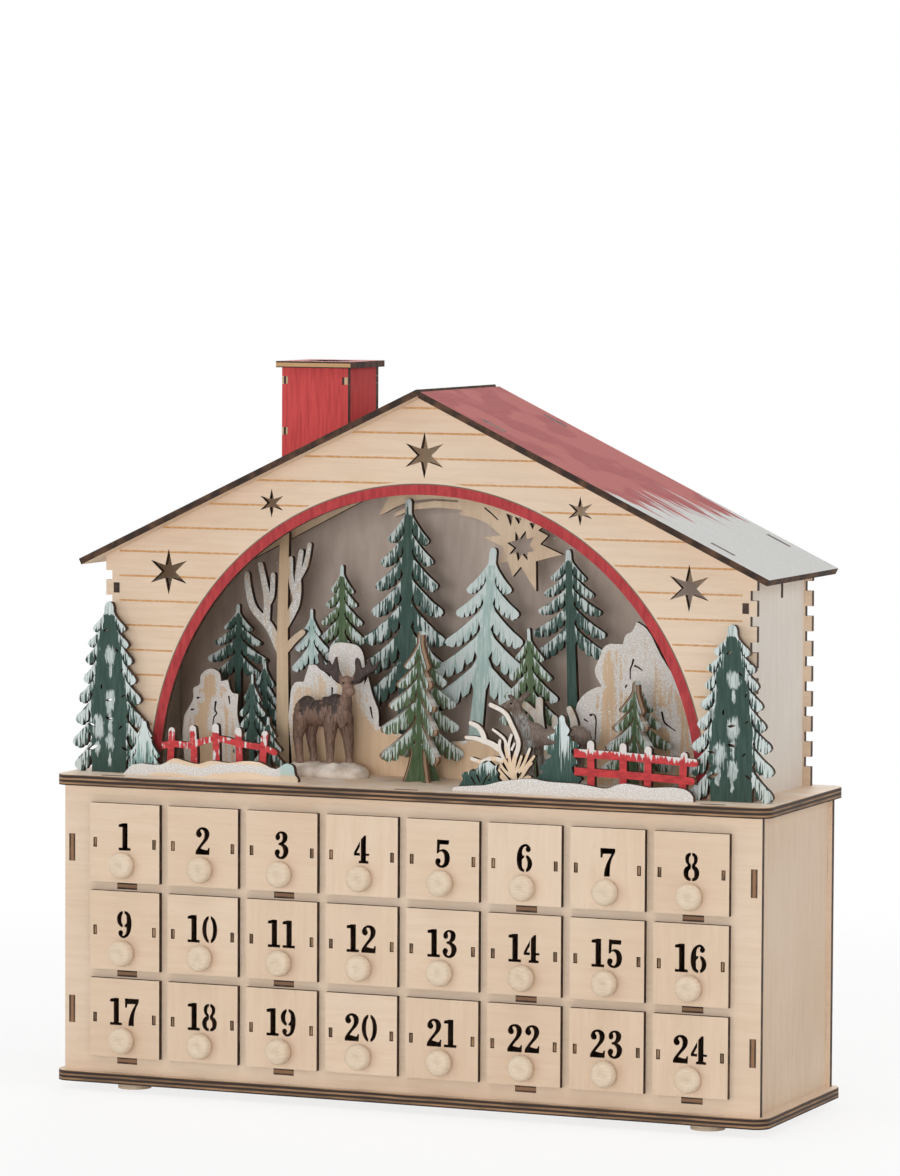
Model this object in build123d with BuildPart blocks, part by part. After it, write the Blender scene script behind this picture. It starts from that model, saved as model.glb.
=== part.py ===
import os
from math import cos, pi, radians, sin, tan

from build123d import *

os.makedirs("parts", exist_ok=True)

# Wooden advent calendar: a gabled house with an arched winter scene on a chest of 24 drawers.
# Lengths are millimetres, +Z is up, the front faces -Y, and the origin is under the middle.

# Sheet stock and fits
ply = 3.0                     # panels, roof and flat cut-outs
board = 5.0                   # base and deck
tray_ply = 2.0                # walls and floor of a drawer tray
slot_play = 0.2               # a slot is this much larger than its tab
slide_play = 0.4              # room round a drawer tray in its opening
lap_play = 0.3                # room above and beside panels that only meet
overrun = 1.0                 # how far a cut runs past the stock

# Drawers
columns = 8
rows = 3
plate_width = 36.3
plate_height = 37.4
column_gap = 4.35             # between neighbouring plates
row_gap = 4.2
tray_inset = 1.75             # tray wall from the end of its plate
tray_top_gap = 3.4            # tray rim below the top of its plate
tray_rear_gap = 4.0           # behind the tray
knob_diameter = 12.4
knob_length = 7.0
knob_rise = 8.4               # knob centre above the plate's lower edge
knob_foot_share = 0.76        # knob diameter at the plate
knob_belly_share = 0.45       # length at which the knob is widest
knob_front_share = 0.80       # diameter of its flat front
knob_flats = 12               # facets round the knob

# Chest
end_margin = 12.4             # chest front beyond the outer columns
top_margin = 5.6              # chest front above and below the rows
chest_depth = 101.0
side_inset = 2.2              # chest sides from the ends of the front
side_tab = 12.8
side_tab_shares = (0.214, 0.781)
shelf_tab = 10.2
shelf_tab_columns = (0, 2, 5, 7)
edge_tab = 12.0               # tabs of upright panels in the base and the deck
edge_tab_shares = (-0.86, 0.0, 0.86)
board_overhang = 4.0
board_corner = 7.0
foot_diameter = 16.0
foot_height = 4.0
foot_flats = 18               # facets round a foot
foot_end_inset = 34.0         # foot centre from the ends of the board
foot_edge_inset = 18.0        # and from its front and rear edges

# House
house_inset = 11.0            # house panels from the ends of the chest
house_setback = 21.4          # house front behind the chest front
eave_height = 102.7           # of the house panels' ends above the deck
leg_width = 28.5              # house front beside the arch
siding_pitch = 11.75
siding_start = 11.3           # lowest siding line above the deck
notch_height = 4.55           # between two tabs of a castellated edge
notch_depth = 3.2
wall_inset = 4.0              # side wall from the ends of the house panels
wall_tab = 4.7
wall_tab_low_row = 1          # board of siding that carries the lower wall tab
wall_tab_top_row = 2          # and the upper one, counted from the top
star_size = 10.9              # centre to point
small_star_size = 6.8
star_waist_share = 0.33
star_turns = (36.2, 90, 143.8)         # about the arch's centre
star_way_shares = (0.54, 0.40, 0.54)   # of the way from the arch to the roof
small_star_turns = (59.1, 120.9)
small_star_way_shares = (0.55, 0.55)

# Roof and chimney
roof_pitch = 25.6
eave_overhang = 9.4
roof_front = 10.4             # roof in front of the house front
roof_rear = 7.0               # roof behind the house back
roof_tab = 12.5
roof_tab_shares = (0.201, 0.887)
chimney_width = 34.0
chimney_depth = 36.0
chimney_x_share = -0.394
chimney_rise = 8.4            # chimney walls above the ridge
chimney_tab = 3.4
chimney_tab_step = 24.0
chimney_tab_drop = 6.0        # upper tab below the top
cap_overhang = 2.2
flue_share = 0.55             # opening in the cap

# Scene: depths behind the house front's rear face, and sizes as shares of the arch's radius
comet_setback = 41.1
backdrop_gap = 5.6            # between the backdrop and the house back
slit_depth = 14.8             # of the slit in the top of a side wall that holds the comet board
scene_tab_share = 0.075
left_rock_setback = 24.6
sapling_setbacks = (20.6, 15.6)
rear_bush_setback = 28.0
cross_setback = 16.0
small_cross_setback = 9.6
moose_setback = 18.0
doe_setback = 6.4
corner_step = 3.4             # corner trees in front of the house front
left_bank_step = 9.4
right_bank_step = 12.4

column_pitch = plate_width + column_gap
row_pitch = plate_height + row_gap
chest_width = columns * column_pitch + 2 * end_margin
chest_height = rows * row_pitch + 2 * top_margin
drawer_reach = ply + knob_length
front_y = (drawer_reach - chest_depth - roof_rear) / 2
rear_y = front_y + chest_depth
base_top = foot_height + board
deck_bottom = base_top + chest_height
deck_top = deck_bottom + board
house_half = chest_width / 2 - house_inset
arch_radius = house_half - leg_width
house_front_y = front_y + house_setback
stage_y = house_front_y + ply
house_back_y = rear_y - ply
wall_outer = house_half - wall_inset
slope = tan(radians(roof_pitch))
gable_height = eave_height + slope * house_half
ridge_z = deck_top + gable_height + ply / cos(radians(roof_pitch))
wall_height = gable_height - slope * wall_outer
slit_height = wall_height - slit_depth
tray_width = plate_width - 2 * tray_inset
tray_height = plate_height - tray_top_gap
tray_length = chest_depth - ply - tray_rear_gap
shelf_drop = plate_height / 2 + slide_play
opening_width = tray_width + 2 * slide_play
opening_height = tray_height + 2 * slide_play
row_heights = [base_top + (chest_height + (rows - 1 - 2 * r) * row_pitch) / 2 for r in range(rows)]
column_places = [(2 * c + 1 - columns) * column_pitch / 2 for c in range(columns)]
comet_y = stage_y + comet_setback
siding_count = int((eave_height - notch_height - siding_start) / siding_pitch) + 1
siding_lines = [siding_start + k * siding_pitch for k in range(siding_count)]
scene_tab = scene_tab_share * arch_radius
seats = []                    # places, lengths and turns of the tabs that stand in the deck


# Plane of a panel whose front face is at y, measured upwards from base.
def upright(y, base=deck_top):
    return Plane(origin=(0, y + ply, base), x_dir=(1, 0, 0), z_dir=(0, -1, 0))


# Plane of a side panel whose outer face is at x.
def sideways(x, base=deck_top):
    return Plane(origin=(x, 0, base), x_dir=(0, 1, 0), z_dir=(1, 0, 0))


# Label a piece, or a group of separate solids, and write it.
def finish(name, *solids):
    piece = solids[0] if len(solids) == 1 else Compound(children=list(solids))
    piece.label = name
    export_step(piece, f"parts/{name}.step")


def scaled(shares):
    return [(x * arch_radius, z * arch_radius) for x, z in shares]


# Face inside a closed outline, added to the sketch in hand.
def outline(points):
    Polygon(*points, align=None)


# Closed outline of a pointed star about the origin.
def star_points(size, rays, waist_share, turn=0, ray_shares=(1,)):
    points = []
    for ray in range(rays):
        reach = size * ray_shares[ray % len(ray_shares)]
        for radius, step in ((reach, 0), (size * waist_share, 0.5)):
            angle = radians(turn) + 2 * pi * (ray + step) / rays
            points.append((radius * cos(angle), radius * sin(angle)))
    return points


# A tapering branch, added to the sketch in hand.
def limb(start, end, start_width, end_width):
    run = Vector(*end) - Vector(*start)
    side = Vector(-run.Y, run.X) / run.length
    corners = [Vector(*start) + side * start_width / 2, Vector(*end) + side * end_width / 2,
               Vector(*end) - side * end_width / 2, Vector(*start) - side * start_width / 2]
    outline([(corner.X, corner.Y) for corner in corners])


# Branch of a spruce: outward and downward shares, from its root round the tip and the needles
branch_shares = ((0.58, 0.38), (1.0, 0.84), (0.88, 1.0), (0.58, 0.88), (0.32, 0.76))
twig_shares = ((1.0, 0.80), (0.86, 1.0), (0.34, 0.74))       # of small trees
branch_droop_share = 1.22     # how far a branch hangs past the root of the next
root_share = 0.16
crown_share = 0.34            # reach of the topmost branches
tall_share = 0.5              # trees above this height have full branches


# Outline of a flat spruce about its trunk at x, with its foot in the deck.
def spruce_points(x, top, skirt, reach, tiers, trunk, foot=0):
    branches = branch_shares if top > tall_share * arch_radius else twig_shares
    rise = (top - skirt) / (tiers - 1 + branch_droop_share)
    right = [(0, top)]
    for tier in range(tiers):
        spread = reach * (crown_share + (1 - crown_share) * tier / (tiers - 1))
        root = top - rise * tier
        if tier:
            right.append((root_share * spread, root))
        right += [(out * spread, root - down * rise * branch_droop_share) for out, down in branches]
    right += [(trunk / 2, skirt + rise / 2), (trunk / 2, foot)]
    return [(x + dx, z) for dx, z in right] + [(x - dx, z) for dx, z in right[:0:-1]]


# A spruce cut from ply: shares give its place, top, skirt, reach and trunk, then its tiers.
def flat_spruce(shares, y):
    x, top, skirt, reach, trunk = [share * arch_radius for share in shares[:5]]
    seats.append((x, y + ply / 2, trunk, 0))
    with BuildPart() as tree:
        with BuildSketch(upright(y)):
            outline(spruce_points(x, top, skirt, reach, shares[5], trunk, -board))
        extrude(amount=ply)
    return tree.part


# A flat cut-out that stands in the deck on tabs; the shares run along its top edge, in arcs if curved.
def scenery(shares, tabs, y, curved=False):
    points = scaled(shares)
    with BuildPart() as cutout:
        with BuildSketch(upright(y)):
            with BuildLine():
                if curved:
                    for start, middle, end in zip(points[::2], points[1::2], points[2::2]):
                        ThreePointArc(start, middle, end)
                else:
                    Polyline(*points)
                Line(points[-1], points[0])
            make_face()
            for share in tabs:
                with Locations((share * arch_radius, -board / 2)):
                    Rectangle(scene_tab, board)
                seats.append((share * arch_radius, y + ply / 2, scene_tab, 0))
        extrude(amount=ply)
    return cutout.part


# Base and feet
board_width = chest_width + 2 * board_overhang
board_depth = chest_depth + 2 * board_overhang
middle_y = front_y + chest_depth / 2
panel_tab_places = [(share * (chest_width / 2), y + ply / 2)
                    for y in (front_y, rear_y - ply) for share in edge_tab_shares]

with BuildPart() as base_board:
    with BuildSketch(Plane.XY.offset(foot_height)):
        with Locations((0, middle_y)):
            RectangleRounded(board_width, board_depth, board_corner)
        with Locations(*panel_tab_places):
            Rectangle(edge_tab + slot_play, ply + slot_play, mode=Mode.SUBTRACT)
    extrude(amount=board)
finish("base_board", base_board.part)

with BuildPart() as feet:
    with BuildSketch():
        with Locations((0, middle_y)):
            with GridLocations(board_width - 2 * foot_end_inset, board_depth - 2 * foot_edge_inset, 2, 2):
                RegularPolygon(foot_diameter / 2, foot_flats)
    extrude(amount=foot_height)
finish("feet", feet.part)

# Chest panels
side_outer = chest_width / 2 - side_inset
side_tab_heights = [share * chest_height for share in side_tab_shares]


# Front or back of the chest, tabbed into both boards, with slots for the sides; the front also
# takes the shelf tabs and has the drawer openings.
def chest_panel(y, openings):
    with BuildPart() as panel:
        with BuildSketch(upright(y, base_top)):
            with Locations((0, chest_height / 2)):
                Rectangle(chest_width, chest_height)
            for share in edge_tab_shares:
                with Locations((share * chest_width / 2, chest_height / 2)):
                    Rectangle(edge_tab, chest_height + 2 * board)
            for side in (-1, 1):
                with Locations(*[(side * (side_outer - ply / 2), height) for height in side_tab_heights]):
                    Rectangle(ply + slot_play, side_tab + slot_play, mode=Mode.SUBTRACT)
            for height in row_heights if openings else ():
                floor = height - base_top - shelf_drop
                with Locations(*[(column_places[c], floor - ply / 2) for c in shelf_tab_columns]):
                    Rectangle(shelf_tab + slot_play, ply + slot_play, mode=Mode.SUBTRACT)
                with Locations(*[(x, floor + opening_height / 2) for x in column_places]):
                    Rectangle(opening_width, opening_height, mode=Mode.SUBTRACT)
        extrude(amount=ply)
    return panel.part


finish("chest_front", chest_panel(front_y, True))
finish("chest_back", chest_panel(rear_y - ply, False))

for name, side in (("chest_left_side", -1), ("chest_right_side", 1)):
    with BuildPart() as chest_side:
        with BuildSketch(sideways(side * side_outer, base_top)):
            with Locations((middle_y, chest_height / 2)):
                Rectangle(chest_depth - 2 * ply, chest_height)
            with Locations(*[(middle_y, height) for height in side_tab_heights]):
                Rectangle(chest_depth, side_tab)
        extrude(amount=-side * ply)
    finish(name, chest_side.part)

# Shelves and the upright dividers halved into them
shelf_width = 2 * (side_outer - ply)
inner_depth = chest_depth - 2 * ply
divider_places = [(left + right) / 2 for left, right in zip(column_places, column_places[1:])]
shelf_tops = [height - shelf_drop for height in row_heights]
shelves = []
for top in shelf_tops:
    halved = top > shelf_tops[-1]
    with BuildPart() as shelf:
        with BuildSketch(Plane.XY.offset(top - ply)):
            with Locations((0, middle_y)):
                Rectangle(shelf_width, inner_depth)
            with Locations(*[(column_places[c], front_y + ply) for c in shelf_tab_columns]):
                Rectangle(shelf_tab, 2 * ply)
            if halved:
                slot = inner_depth / 2 + overrun
                with Locations(*[(x, middle_y + slot / 2 - lap_play) for x in divider_places]):
                    Rectangle(ply + slot_play, slot + 2 * lap_play, mode=Mode.SUBTRACT)
        extrude(amount=ply)
    shelves.append(shelf.part)
finish("drawer_shelves", *shelves)

dividers = []
divider_height = deck_bottom - shelf_tops[-1] - lap_play
for x in divider_places:
    with BuildPart() as divider:
        with BuildSketch(sideways(x + ply / 2, shelf_tops[-1])):
            with Locations((middle_y, divider_height / 2)):
                Rectangle(inner_depth - 2 * lap_play, divider_height)
            slot = inner_depth / 2 + overrun
            for top in shelf_tops[:-1]:
                with Locations((middle_y - slot / 2 + lap_play, top - shelf_tops[-1] - ply / 2)):
                    Rectangle(slot + 2 * lap_play, ply + slot_play, mode=Mode.SUBTRACT)
        extrude(amount=-ply)
    dividers.append(divider.part)
finish("drawer_dividers", *dividers)

# One drawer about the middle of its plate: front plate, tray and turned knob
tray_floor = -plate_height / 2

with BuildPart() as plate:
    with BuildSketch(Plane.XZ):
        Rectangle(plate_width, plate_height)
    extrude(amount=ply)

with BuildPart() as tray:
    with BuildSketch(Plane.XY.offset(tray_floor)):
        with Locations((0, tray_length / 2)):
            Rectangle(tray_width, tray_length)
    extrude(amount=tray_height)
    with BuildSketch(Plane.XY.offset(tray_floor + tray_ply)):
        with Locations((0, (tray_length - tray_ply) / 2)):
            Rectangle(tray_width - 2 * tray_ply, tray_length - tray_ply)
    extrude(amount=tray_height, mode=Mode.SUBTRACT)

knob_radius = knob_diameter / 2
knob_stations = ((0, knob_foot_share), (knob_belly_share, 1), (1, knob_front_share))
with BuildPart() as knob:
    for (start, wide), (end, slim) in zip(knob_stations, knob_stations[1:]):
        for place, share in ((start, wide), (end, slim)):
            with BuildSketch(Plane(origin=(0, -ply - place * knob_length, tray_floor + knob_rise),
                                   x_dir=(1, 0, 0), z_dir=(0, -1, 0))):
                RegularPolygon(share * knob_radius, knob_flats)
        loft(ruled=True)

number = 0
for height in row_heights:
    for x in column_places:
        number += 1
        place = Location((x, front_y, height))
        finish(f"drawer_{number:02d}", *[solid.part.moved(place) for solid in (plate, tray, knob)])

# House panels
wall_tab_rows = (wall_tab_low_row, siding_count - wall_tab_top_row)
wall_tab_heights = [siding_start + (row + 0.5) * siding_pitch for row in wall_tab_rows]
leg_tab_place = house_half - leg_width / 2
back_tab_share = 0.45
roof_tab_places = [share * house_half for share in roof_tab_shares]


# Place of a star on the gable, by its turn about the arch's centre and its share of the way to the roof.
def star_place(turn, share):
    across, up = cos(radians(turn)), sin(radians(turn))
    roof = gable_height / (up + slope * abs(across))
    reach = arch_radius + share * (roof - arch_radius)
    return reach * across, reach * up


# Gabled panel with castellated ends, tabs for the roof and the deck, and slots for the walls.
def house_panel(y, tab_place, arched):
    with BuildPart() as panel:
        with BuildSketch(upright(y)):
            outline([(-house_half, 0), (house_half, 0), (house_half, eave_height),
                     (0, gable_height), (-house_half, eave_height)])
            for side in (-1, 1):
                with Locations(*[(side * house_half, line) for line in siding_lines]):
                    Rectangle(2 * notch_depth, notch_height, mode=Mode.SUBTRACT)
                with Locations(*[(side * (wall_outer - ply / 2), height) for height in wall_tab_heights]):
                    Rectangle(ply + slot_play, wall_tab + slot_play, mode=Mode.SUBTRACT)
                with Locations(*[Location((side * x, gable_height - slope * x), -side * roof_pitch)
                                 for x in roof_tab_places]):
                    Rectangle(roof_tab, 2 * ply)
            if arched:
                Circle(arch_radius, mode=Mode.SUBTRACT)
                for size, turns, shares in ((star_size, star_turns, star_way_shares),
                                            (small_star_size, small_star_turns, small_star_way_shares)):
                    with Locations(*[star_place(turn, share) for turn, share in zip(turns, shares)]):
                        Polygon(*star_points(size, 6, star_waist_share, 90), align=None, mode=Mode.SUBTRACT)
            for side in (-1, 1):
                with Locations((side * tab_place, -board / 2)):
                    Rectangle(edge_tab, board)
                seats.append((side * tab_place, y + ply / 2, edge_tab, 0))
        extrude(amount=ply)
    return panel.part


finish("house_front", house_panel(house_front_y, leg_tab_place, True))
finish("house_back", house_panel(house_back_y, back_tab_share * house_half, False))

wall_middle = (stage_y + house_back_y) / 2
wall_length = house_back_y - stage_y
for name, side in (("house_left_wall", -1), ("house_right_wall", 1)):
    with BuildPart() as wall:
        with BuildSketch(sideways(side * wall_outer)):
            with Locations((wall_middle, wall_height / 2)):
                Rectangle(wall_length, wall_height)
            with Locations(*[(wall_middle, height) for height in wall_tab_heights]):
                Rectangle(wall_length + 2 * ply, wall_tab)
            with Locations((comet_y + ply / 2, (slit_height + wall_height + overrun) / 2)):
                Rectangle(ply + slot_play, wall_height + overrun - slit_height, mode=Mode.SUBTRACT)
        extrude(amount=-side * ply)
    finish(name, wall.part)

# Roof: the left panel runs up to the ridge and the right one butts against it
roof_length = rear_y + roof_rear - house_front_y + roof_front
roof_middle = (rear_y + roof_rear + house_front_y - roof_front) / 2
pitch = radians(roof_pitch)
roof_run = (house_half + eave_overhang) / cos(pitch)
for name, side, start in (("roof_left", -1, 0), ("roof_right", 1, ply * sin(2 * pitch))):
    fall = Plane(origin=(0, roof_middle, ridge_z), x_dir=(side * cos(pitch), 0, -sin(pitch)),
                 z_dir=(side * sin(pitch), 0, cos(pitch)))
    with BuildPart() as roof:
        with BuildSketch(fall):
            with Locations(((start + roof_run) / 2, 0)):
                Rectangle(roof_run - start, roof_length)
            for y in (house_front_y + ply / 2, house_back_y + ply / 2):
                with Locations(*[(x / cos(pitch) + ply * slope, side * (y - roof_middle))
                                 for x in roof_tab_places]):
                    Rectangle(roof_tab + slot_play, ply + slot_play, mode=Mode.SUBTRACT)
        extrude(amount=-ply)
    finish(name, roof.part)

# Chimney on the left slope, its walls cut along the roof
chimney_x = chimney_x_share * house_half
chimney_top = ridge_z + chimney_rise
chimney_front = roof_middle - chimney_depth / 2
chimney_drop = chimney_rise + slope * (chimney_width / 2 - chimney_x) + overrun
left_fall = Plane(origin=(0, 0, ridge_z), x_dir=(0, 1, 0), z_dir=(-sin(pitch), 0, cos(pitch)))
tab_place = chimney_width / 2 - ply / 2


# Heights of the tabs of one chimney side, below its top.
def chimney_tab_heights(side):
    foot = chimney_rise - slope * (chimney_x + side * tab_place)
    steps = (foot - chimney_tab_drop - chimney_tab) // chimney_tab_step
    return [-chimney_tab_drop - step * chimney_tab_step for step in range(int(steps) + 1)]


chimney_walls = []
for y in (chimney_front, chimney_front + chimney_depth - ply):
    with BuildPart() as chimney_wall:
        with BuildSketch(upright(y, chimney_top)):
            with Locations((chimney_x, -chimney_drop / 2)):
                Rectangle(chimney_width, chimney_drop)
            for side in (-1, 1):
                with Locations(*[(chimney_x + side * tab_place, height)
                                 for height in chimney_tab_heights(side)]):
                    Rectangle(ply + slot_play, chimney_tab + slot_play, mode=Mode.SUBTRACT)
        extrude(amount=ply)
        split(bisect_by=left_fall, keep=Keep.TOP)
    chimney_walls.append(chimney_wall.part)
for side in (-1, 1):
    with BuildPart() as chimney_wall:
        with BuildSketch(sideways(chimney_x + side * chimney_width / 2, chimney_top)):
            with Locations((roof_middle, -chimney_drop / 2)):
                Rectangle(chimney_depth - 2 * ply, chimney_drop)
            with Locations(*[(roof_middle, height) for height in chimney_tab_heights(side)]):
                Rectangle(chimney_depth, chimney_tab)
        extrude(amount=-side * ply)
        split(bisect_by=left_fall, keep=Keep.TOP)
    chimney_walls.append(chimney_wall.part)
finish("chimney_walls", *chimney_walls)

with BuildPart() as chimney_cap:
    with BuildSketch(Plane.XY.offset(chimney_top)):
        with Locations((chimney_x, roof_middle)):
            Rectangle(chimney_width + 2 * cap_overhang, chimney_depth + 2 * cap_overhang)
            Rectangle(flue_share * chimney_width, flue_share * chimney_depth, mode=Mode.SUBTRACT)
    extrude(amount=ply)
finish("chimney_cap", chimney_cap.part)

# Backdrop, and the comet board in the slits of the side walls
backdrop_half = wall_outer - ply - lap_play
backdrop_y = house_back_y - backdrop_gap - ply
backdrop_tab_shares = (-0.5, 0.5)
with BuildPart() as backdrop_panel:
    with BuildSketch(upright(backdrop_y)):
        eave = gable_height - slope * backdrop_half - lap_play
        outline([(-backdrop_half, 0), (backdrop_half, 0), (backdrop_half, eave),
                 (0, gable_height - lap_play), (-backdrop_half, eave)])
        for share in backdrop_tab_shares:
            with Locations((share * backdrop_half, -board / 2)):
                Rectangle(edge_tab, board)
            seats.append((share * backdrop_half, backdrop_y + ply / 2, edge_tab, 0))
    extrude(amount=ply)
finish("backdrop_panel", backdrop_panel.part)

comet_band = 26.0             # height of the board above the scene
comet_knee_share = 0.80       # where its lower edge leaves the ears
comet_place_shares = (0.222, 0.817)
comet_size = 23.0
comet_waist_share = 0.40
comet_turn = -17
comet_ray_shares = (1.0, 0.55, 0.62, 0.80, 0.78, 0.62, 0.92, 0.66)
comet_eye = 7.0
comet_eye_waist_share = 0.5
tail_shares = ((0.30, 1.0), (0.14, 0.80), (0.05, 0.885), (-0.06, 0.92), (-0.17, 0.925), (-0.31, 0.905),
               (-0.29, 0.955))
tail_root_shares = (-0.22, 0.10)
with BuildPart() as comet_board:
    with BuildSketch(upright(comet_y)):
        knee = comet_knee_share * wall_outer
        ear = gable_height - slope * wall_outer - lap_play
        band_foot = gable_height - comet_band
        outline([(knee, slit_height), (wall_outer, slit_height), (wall_outer, ear),
                 (0, gable_height - lap_play), (-wall_outer, ear), (-wall_outer, slit_height),
                 (-knee, slit_height), (0, band_foot)])
        outline(scaled(tail_shares) + [(share * arch_radius, band_foot) for share in tail_root_shares])
        with Locations(*scaled([comet_place_shares])):
            Polygon(*star_points(comet_size, 8, comet_waist_share, comet_turn, comet_ray_shares), align=None)
            Polygon(*star_points(comet_eye, 8, comet_eye_waist_share), align=None, mode=Mode.SUBTRACT)
    extrude(amount=ply)
finish("comet_board", comet_board.part)

# Flat spruces, in two layers behind the rocks: shares of place, top, skirt, reach and trunk, then tiers
rear_layer = comet_y - ply
middle_layer = rear_layer - ply
rock_layer = middle_layer - ply
spruce_shares = {
    "tall_spruce": (-0.190, 0.968, 0.27, 0.165, 0.052, 7),
    "left_spruce": (-0.841, 0.580, 0.32, 0.129, 0.030, 4),
    "green_spruce": (-0.428, 0.730, 0.44, 0.099, 0.029, 5),
    "right_spruce": (0.421, 0.807, 0.45, 0.140, 0.047, 5)}
for name, shares in spruce_shares.items():
    finish(name, flat_spruce(shares, rear_layer))
pale_spruce_shares = (0.118, 0.807, 0.31, 0.190, 0.060, 5)
finish("pale_spruce", flat_spruce(pale_spruce_shares, middle_layer))
small_spruce_shares = ((0.275, 0.534, 0.25, 0.115, 0.025, 4), (-0.546, 0.573, 0.39, 0.072, 0.022, 3),
                       (-0.727, 0.390, 0.11, 0.075, 0.025, 4))
sapling_shares = ((-0.727, 0.345, 0.10, 0.068, 0.022, 4), (-0.647, 0.200, 0.05, 0.063, 0.020, 3))
small_spruces = [flat_spruce(small_spruce_shares[0], rock_layer)]
small_spruces += [flat_spruce(shares, middle_layer) for shares in small_spruce_shares[1:]]
small_spruces += [flat_spruce(shares, stage_y + setback)
                  for shares, setback in zip(sapling_shares, sapling_setbacks)]
finish("small_spruces", *small_spruces)

# Rocks: the top edges, from left to right
left_rock_shares = ((-1.0, 0), (-1.004, 0.173), (-0.985, 0.224), (-0.967, 0.286), (-0.942, 0.308),
                    (-0.937, 0.34), (-0.897, 0.356), (-0.872, 0.345), (-0.862, 0.313), (-0.842, 0.32),
                    (-0.824, 0.304), (-0.818, 0.269), (-0.793, 0.266), (-0.80, 0.178), (-0.786, 0.14),
                    (-0.782, 0))
centre_rock_shares = ((-0.607, 0), (-0.612, 0.293), (-0.596, 0.315), (-0.567, 0.315), (-0.55, 0.378),
                      (-0.508, 0.37), (-0.463, 0.33), (-0.466, 0.424), (-0.458, 0.453), (-0.40, 0.455),
                      (-0.359, 0.446), (-0.338, 0.413), (-0.334, 0.308), (-0.321, 0.334), (-0.304, 0.286),
                      (-0.296, 0.232), (-0.279, 0.218), (-0.275, 0.157), (-0.238, 0.157), (-0.20, 0.15),
                      (-0.05, 0.125), (0.10, 0.14), (0.185, 0.13), (0.185, 0))
right_rock_shares = ((0.46, 0), (0.459, 0.243), (0.477, 0.30), (0.491, 0.318), (0.554, 0.339), (0.528, 0.395),
                     (0.57, 0.485), (0.64, 0.489), (0.644, 0.525), (0.664, 0.534), (0.683, 0.57),
                     (0.72, 0.546), (0.77, 0.46), (0.83, 0.37), (0.90, 0.25), (0.96, 0.10), (0.97, 0))
finish("rocks", scenery(left_rock_shares, (-0.90,), stage_y + left_rock_setback),
       scenery(centre_rock_shares, (-0.46, -0.04), rock_layer),
       scenery(right_rock_shares, (0.60, 0.85), rock_layer))

# Bare tree and bushes: limbs as start, end and widths in shares
trunk_shares = ((-0.641, -0.3), (-0.636, 0.84), 0.055, 0.036)
bare_limb_shares = (
    ((-0.645, 0.40), (-0.725, 0.58), 0.035, 0.028), ((-0.725, 0.57), (-0.785, 0.69), 0.028, 0.016),
    ((-0.715, 0.55), (-0.69, 0.76), 0.024, 0.016), ((-0.635, 0.53), (-0.583, 0.67), 0.034, 0.028),
    ((-0.585, 0.66), (-0.545, 0.80), 0.028, 0.014), ((-0.588, 0.64), (-0.597, 0.76), 0.024, 0.014),
    ((-0.635, 0.42), (-0.565, 0.50), 0.028, 0.018))
with BuildPart() as bare_tree:
    with BuildSketch(upright(rock_layer)):
        trunk_foot, trunk_head, trunk_wide, trunk_slim = trunk_shares
        outline([(dx * arch_radius, z) for dx, z in (
            (trunk_foot[0] - trunk_wide / 2, -board), (trunk_foot[0] + trunk_wide / 2, -board),
            (trunk_head[0] + trunk_slim / 2, trunk_head[1] * arch_radius),
            (trunk_head[0] - trunk_slim / 2, trunk_head[1] * arch_radius))])
        for start, end, wide, slim in bare_limb_shares:
            limb(*scaled((start, end)), wide * arch_radius, slim * arch_radius)
    extrude(amount=ply)
seats.append((trunk_foot[0] * arch_radius, rock_layer + ply / 2, trunk_wide * arch_radius, 0))
finish("bare_tree", bare_tree.part)

# Cross-lapped trees: two blades on the diagonals, halved into each other
cross_play = slot_play / 2


# Two spruce blades; the first is slotted from its foot, the second from its top.
def cross_tree(place_share, setback, shares):
    top, skirt, reach, trunk = [share * arch_radius for share in shares[:4]]
    foot = trunk * cross_foot_share
    place = (place_share * arch_radius, stage_y + setback, deck_top)
    half = (top + board) / 2
    blades = []
    for turn, slot_foot in ((45, -board - overrun), (-45, half - board - lap_play)):
        across = Vector(1, 0, 0).rotate(Axis.Z, turn)
        blade_plane = Plane(origin=place, x_dir=across, z_dir=across.rotate(Axis.Z, -90))
        with BuildPart() as blade:
            with BuildSketch(blade_plane):
                outline(spruce_points(0, top, skirt, reach, shares[4], trunk, 0))
                with Locations((0, foot / 2)):
                    Rectangle(2 * foot, foot)
                for side in (-1, 1):
                    with Locations((side * (foot + trunk / 2) / 2, -board / 2)):
                        Rectangle(foot - trunk / 2, board)
                slot_height = half + overrun + lap_play if turn > 0 else top + overrun - slot_foot
                with Locations((0, slot_foot + slot_height / 2)):
                    Rectangle(ply + cross_play, slot_height, mode=Mode.SUBTRACT)
            extrude(amount=ply / 2, both=True)
        blades.append(blade.part)
        for side in (-1, 1):
            spot = Vector(*place) + across * (side * (foot + trunk / 2) / 2)
            seats.append((spot.X, spot.Y, foot - trunk / 2, turn))
    return blades


cross_foot_share = 1.25
large_cross_shares = (0.520, 0.10, 0.150, 0.052, 5)
small_cross_shares = (0.381, 0.09, 0.132, 0.045, 4)
finish("cross_tree_large", *cross_tree(-0.066, cross_setback, large_cross_shares))
finish("cross_tree_small", *cross_tree(0.748, small_cross_setback, small_cross_shares))

# Ledge in front of the house: corner trees, snow banks, fences and shrubs
corner_y = house_front_y - corner_step - ply
corner_tree_shares = ((-1.176, 0.599, 0.01, 0.140, 0.075, 7), (1.140, 0.594, 0.01, 0.150, 0.075, 7))
finish("corner_trees", *[flat_spruce(shares, corner_y) for shares in corner_tree_shares])

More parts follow.
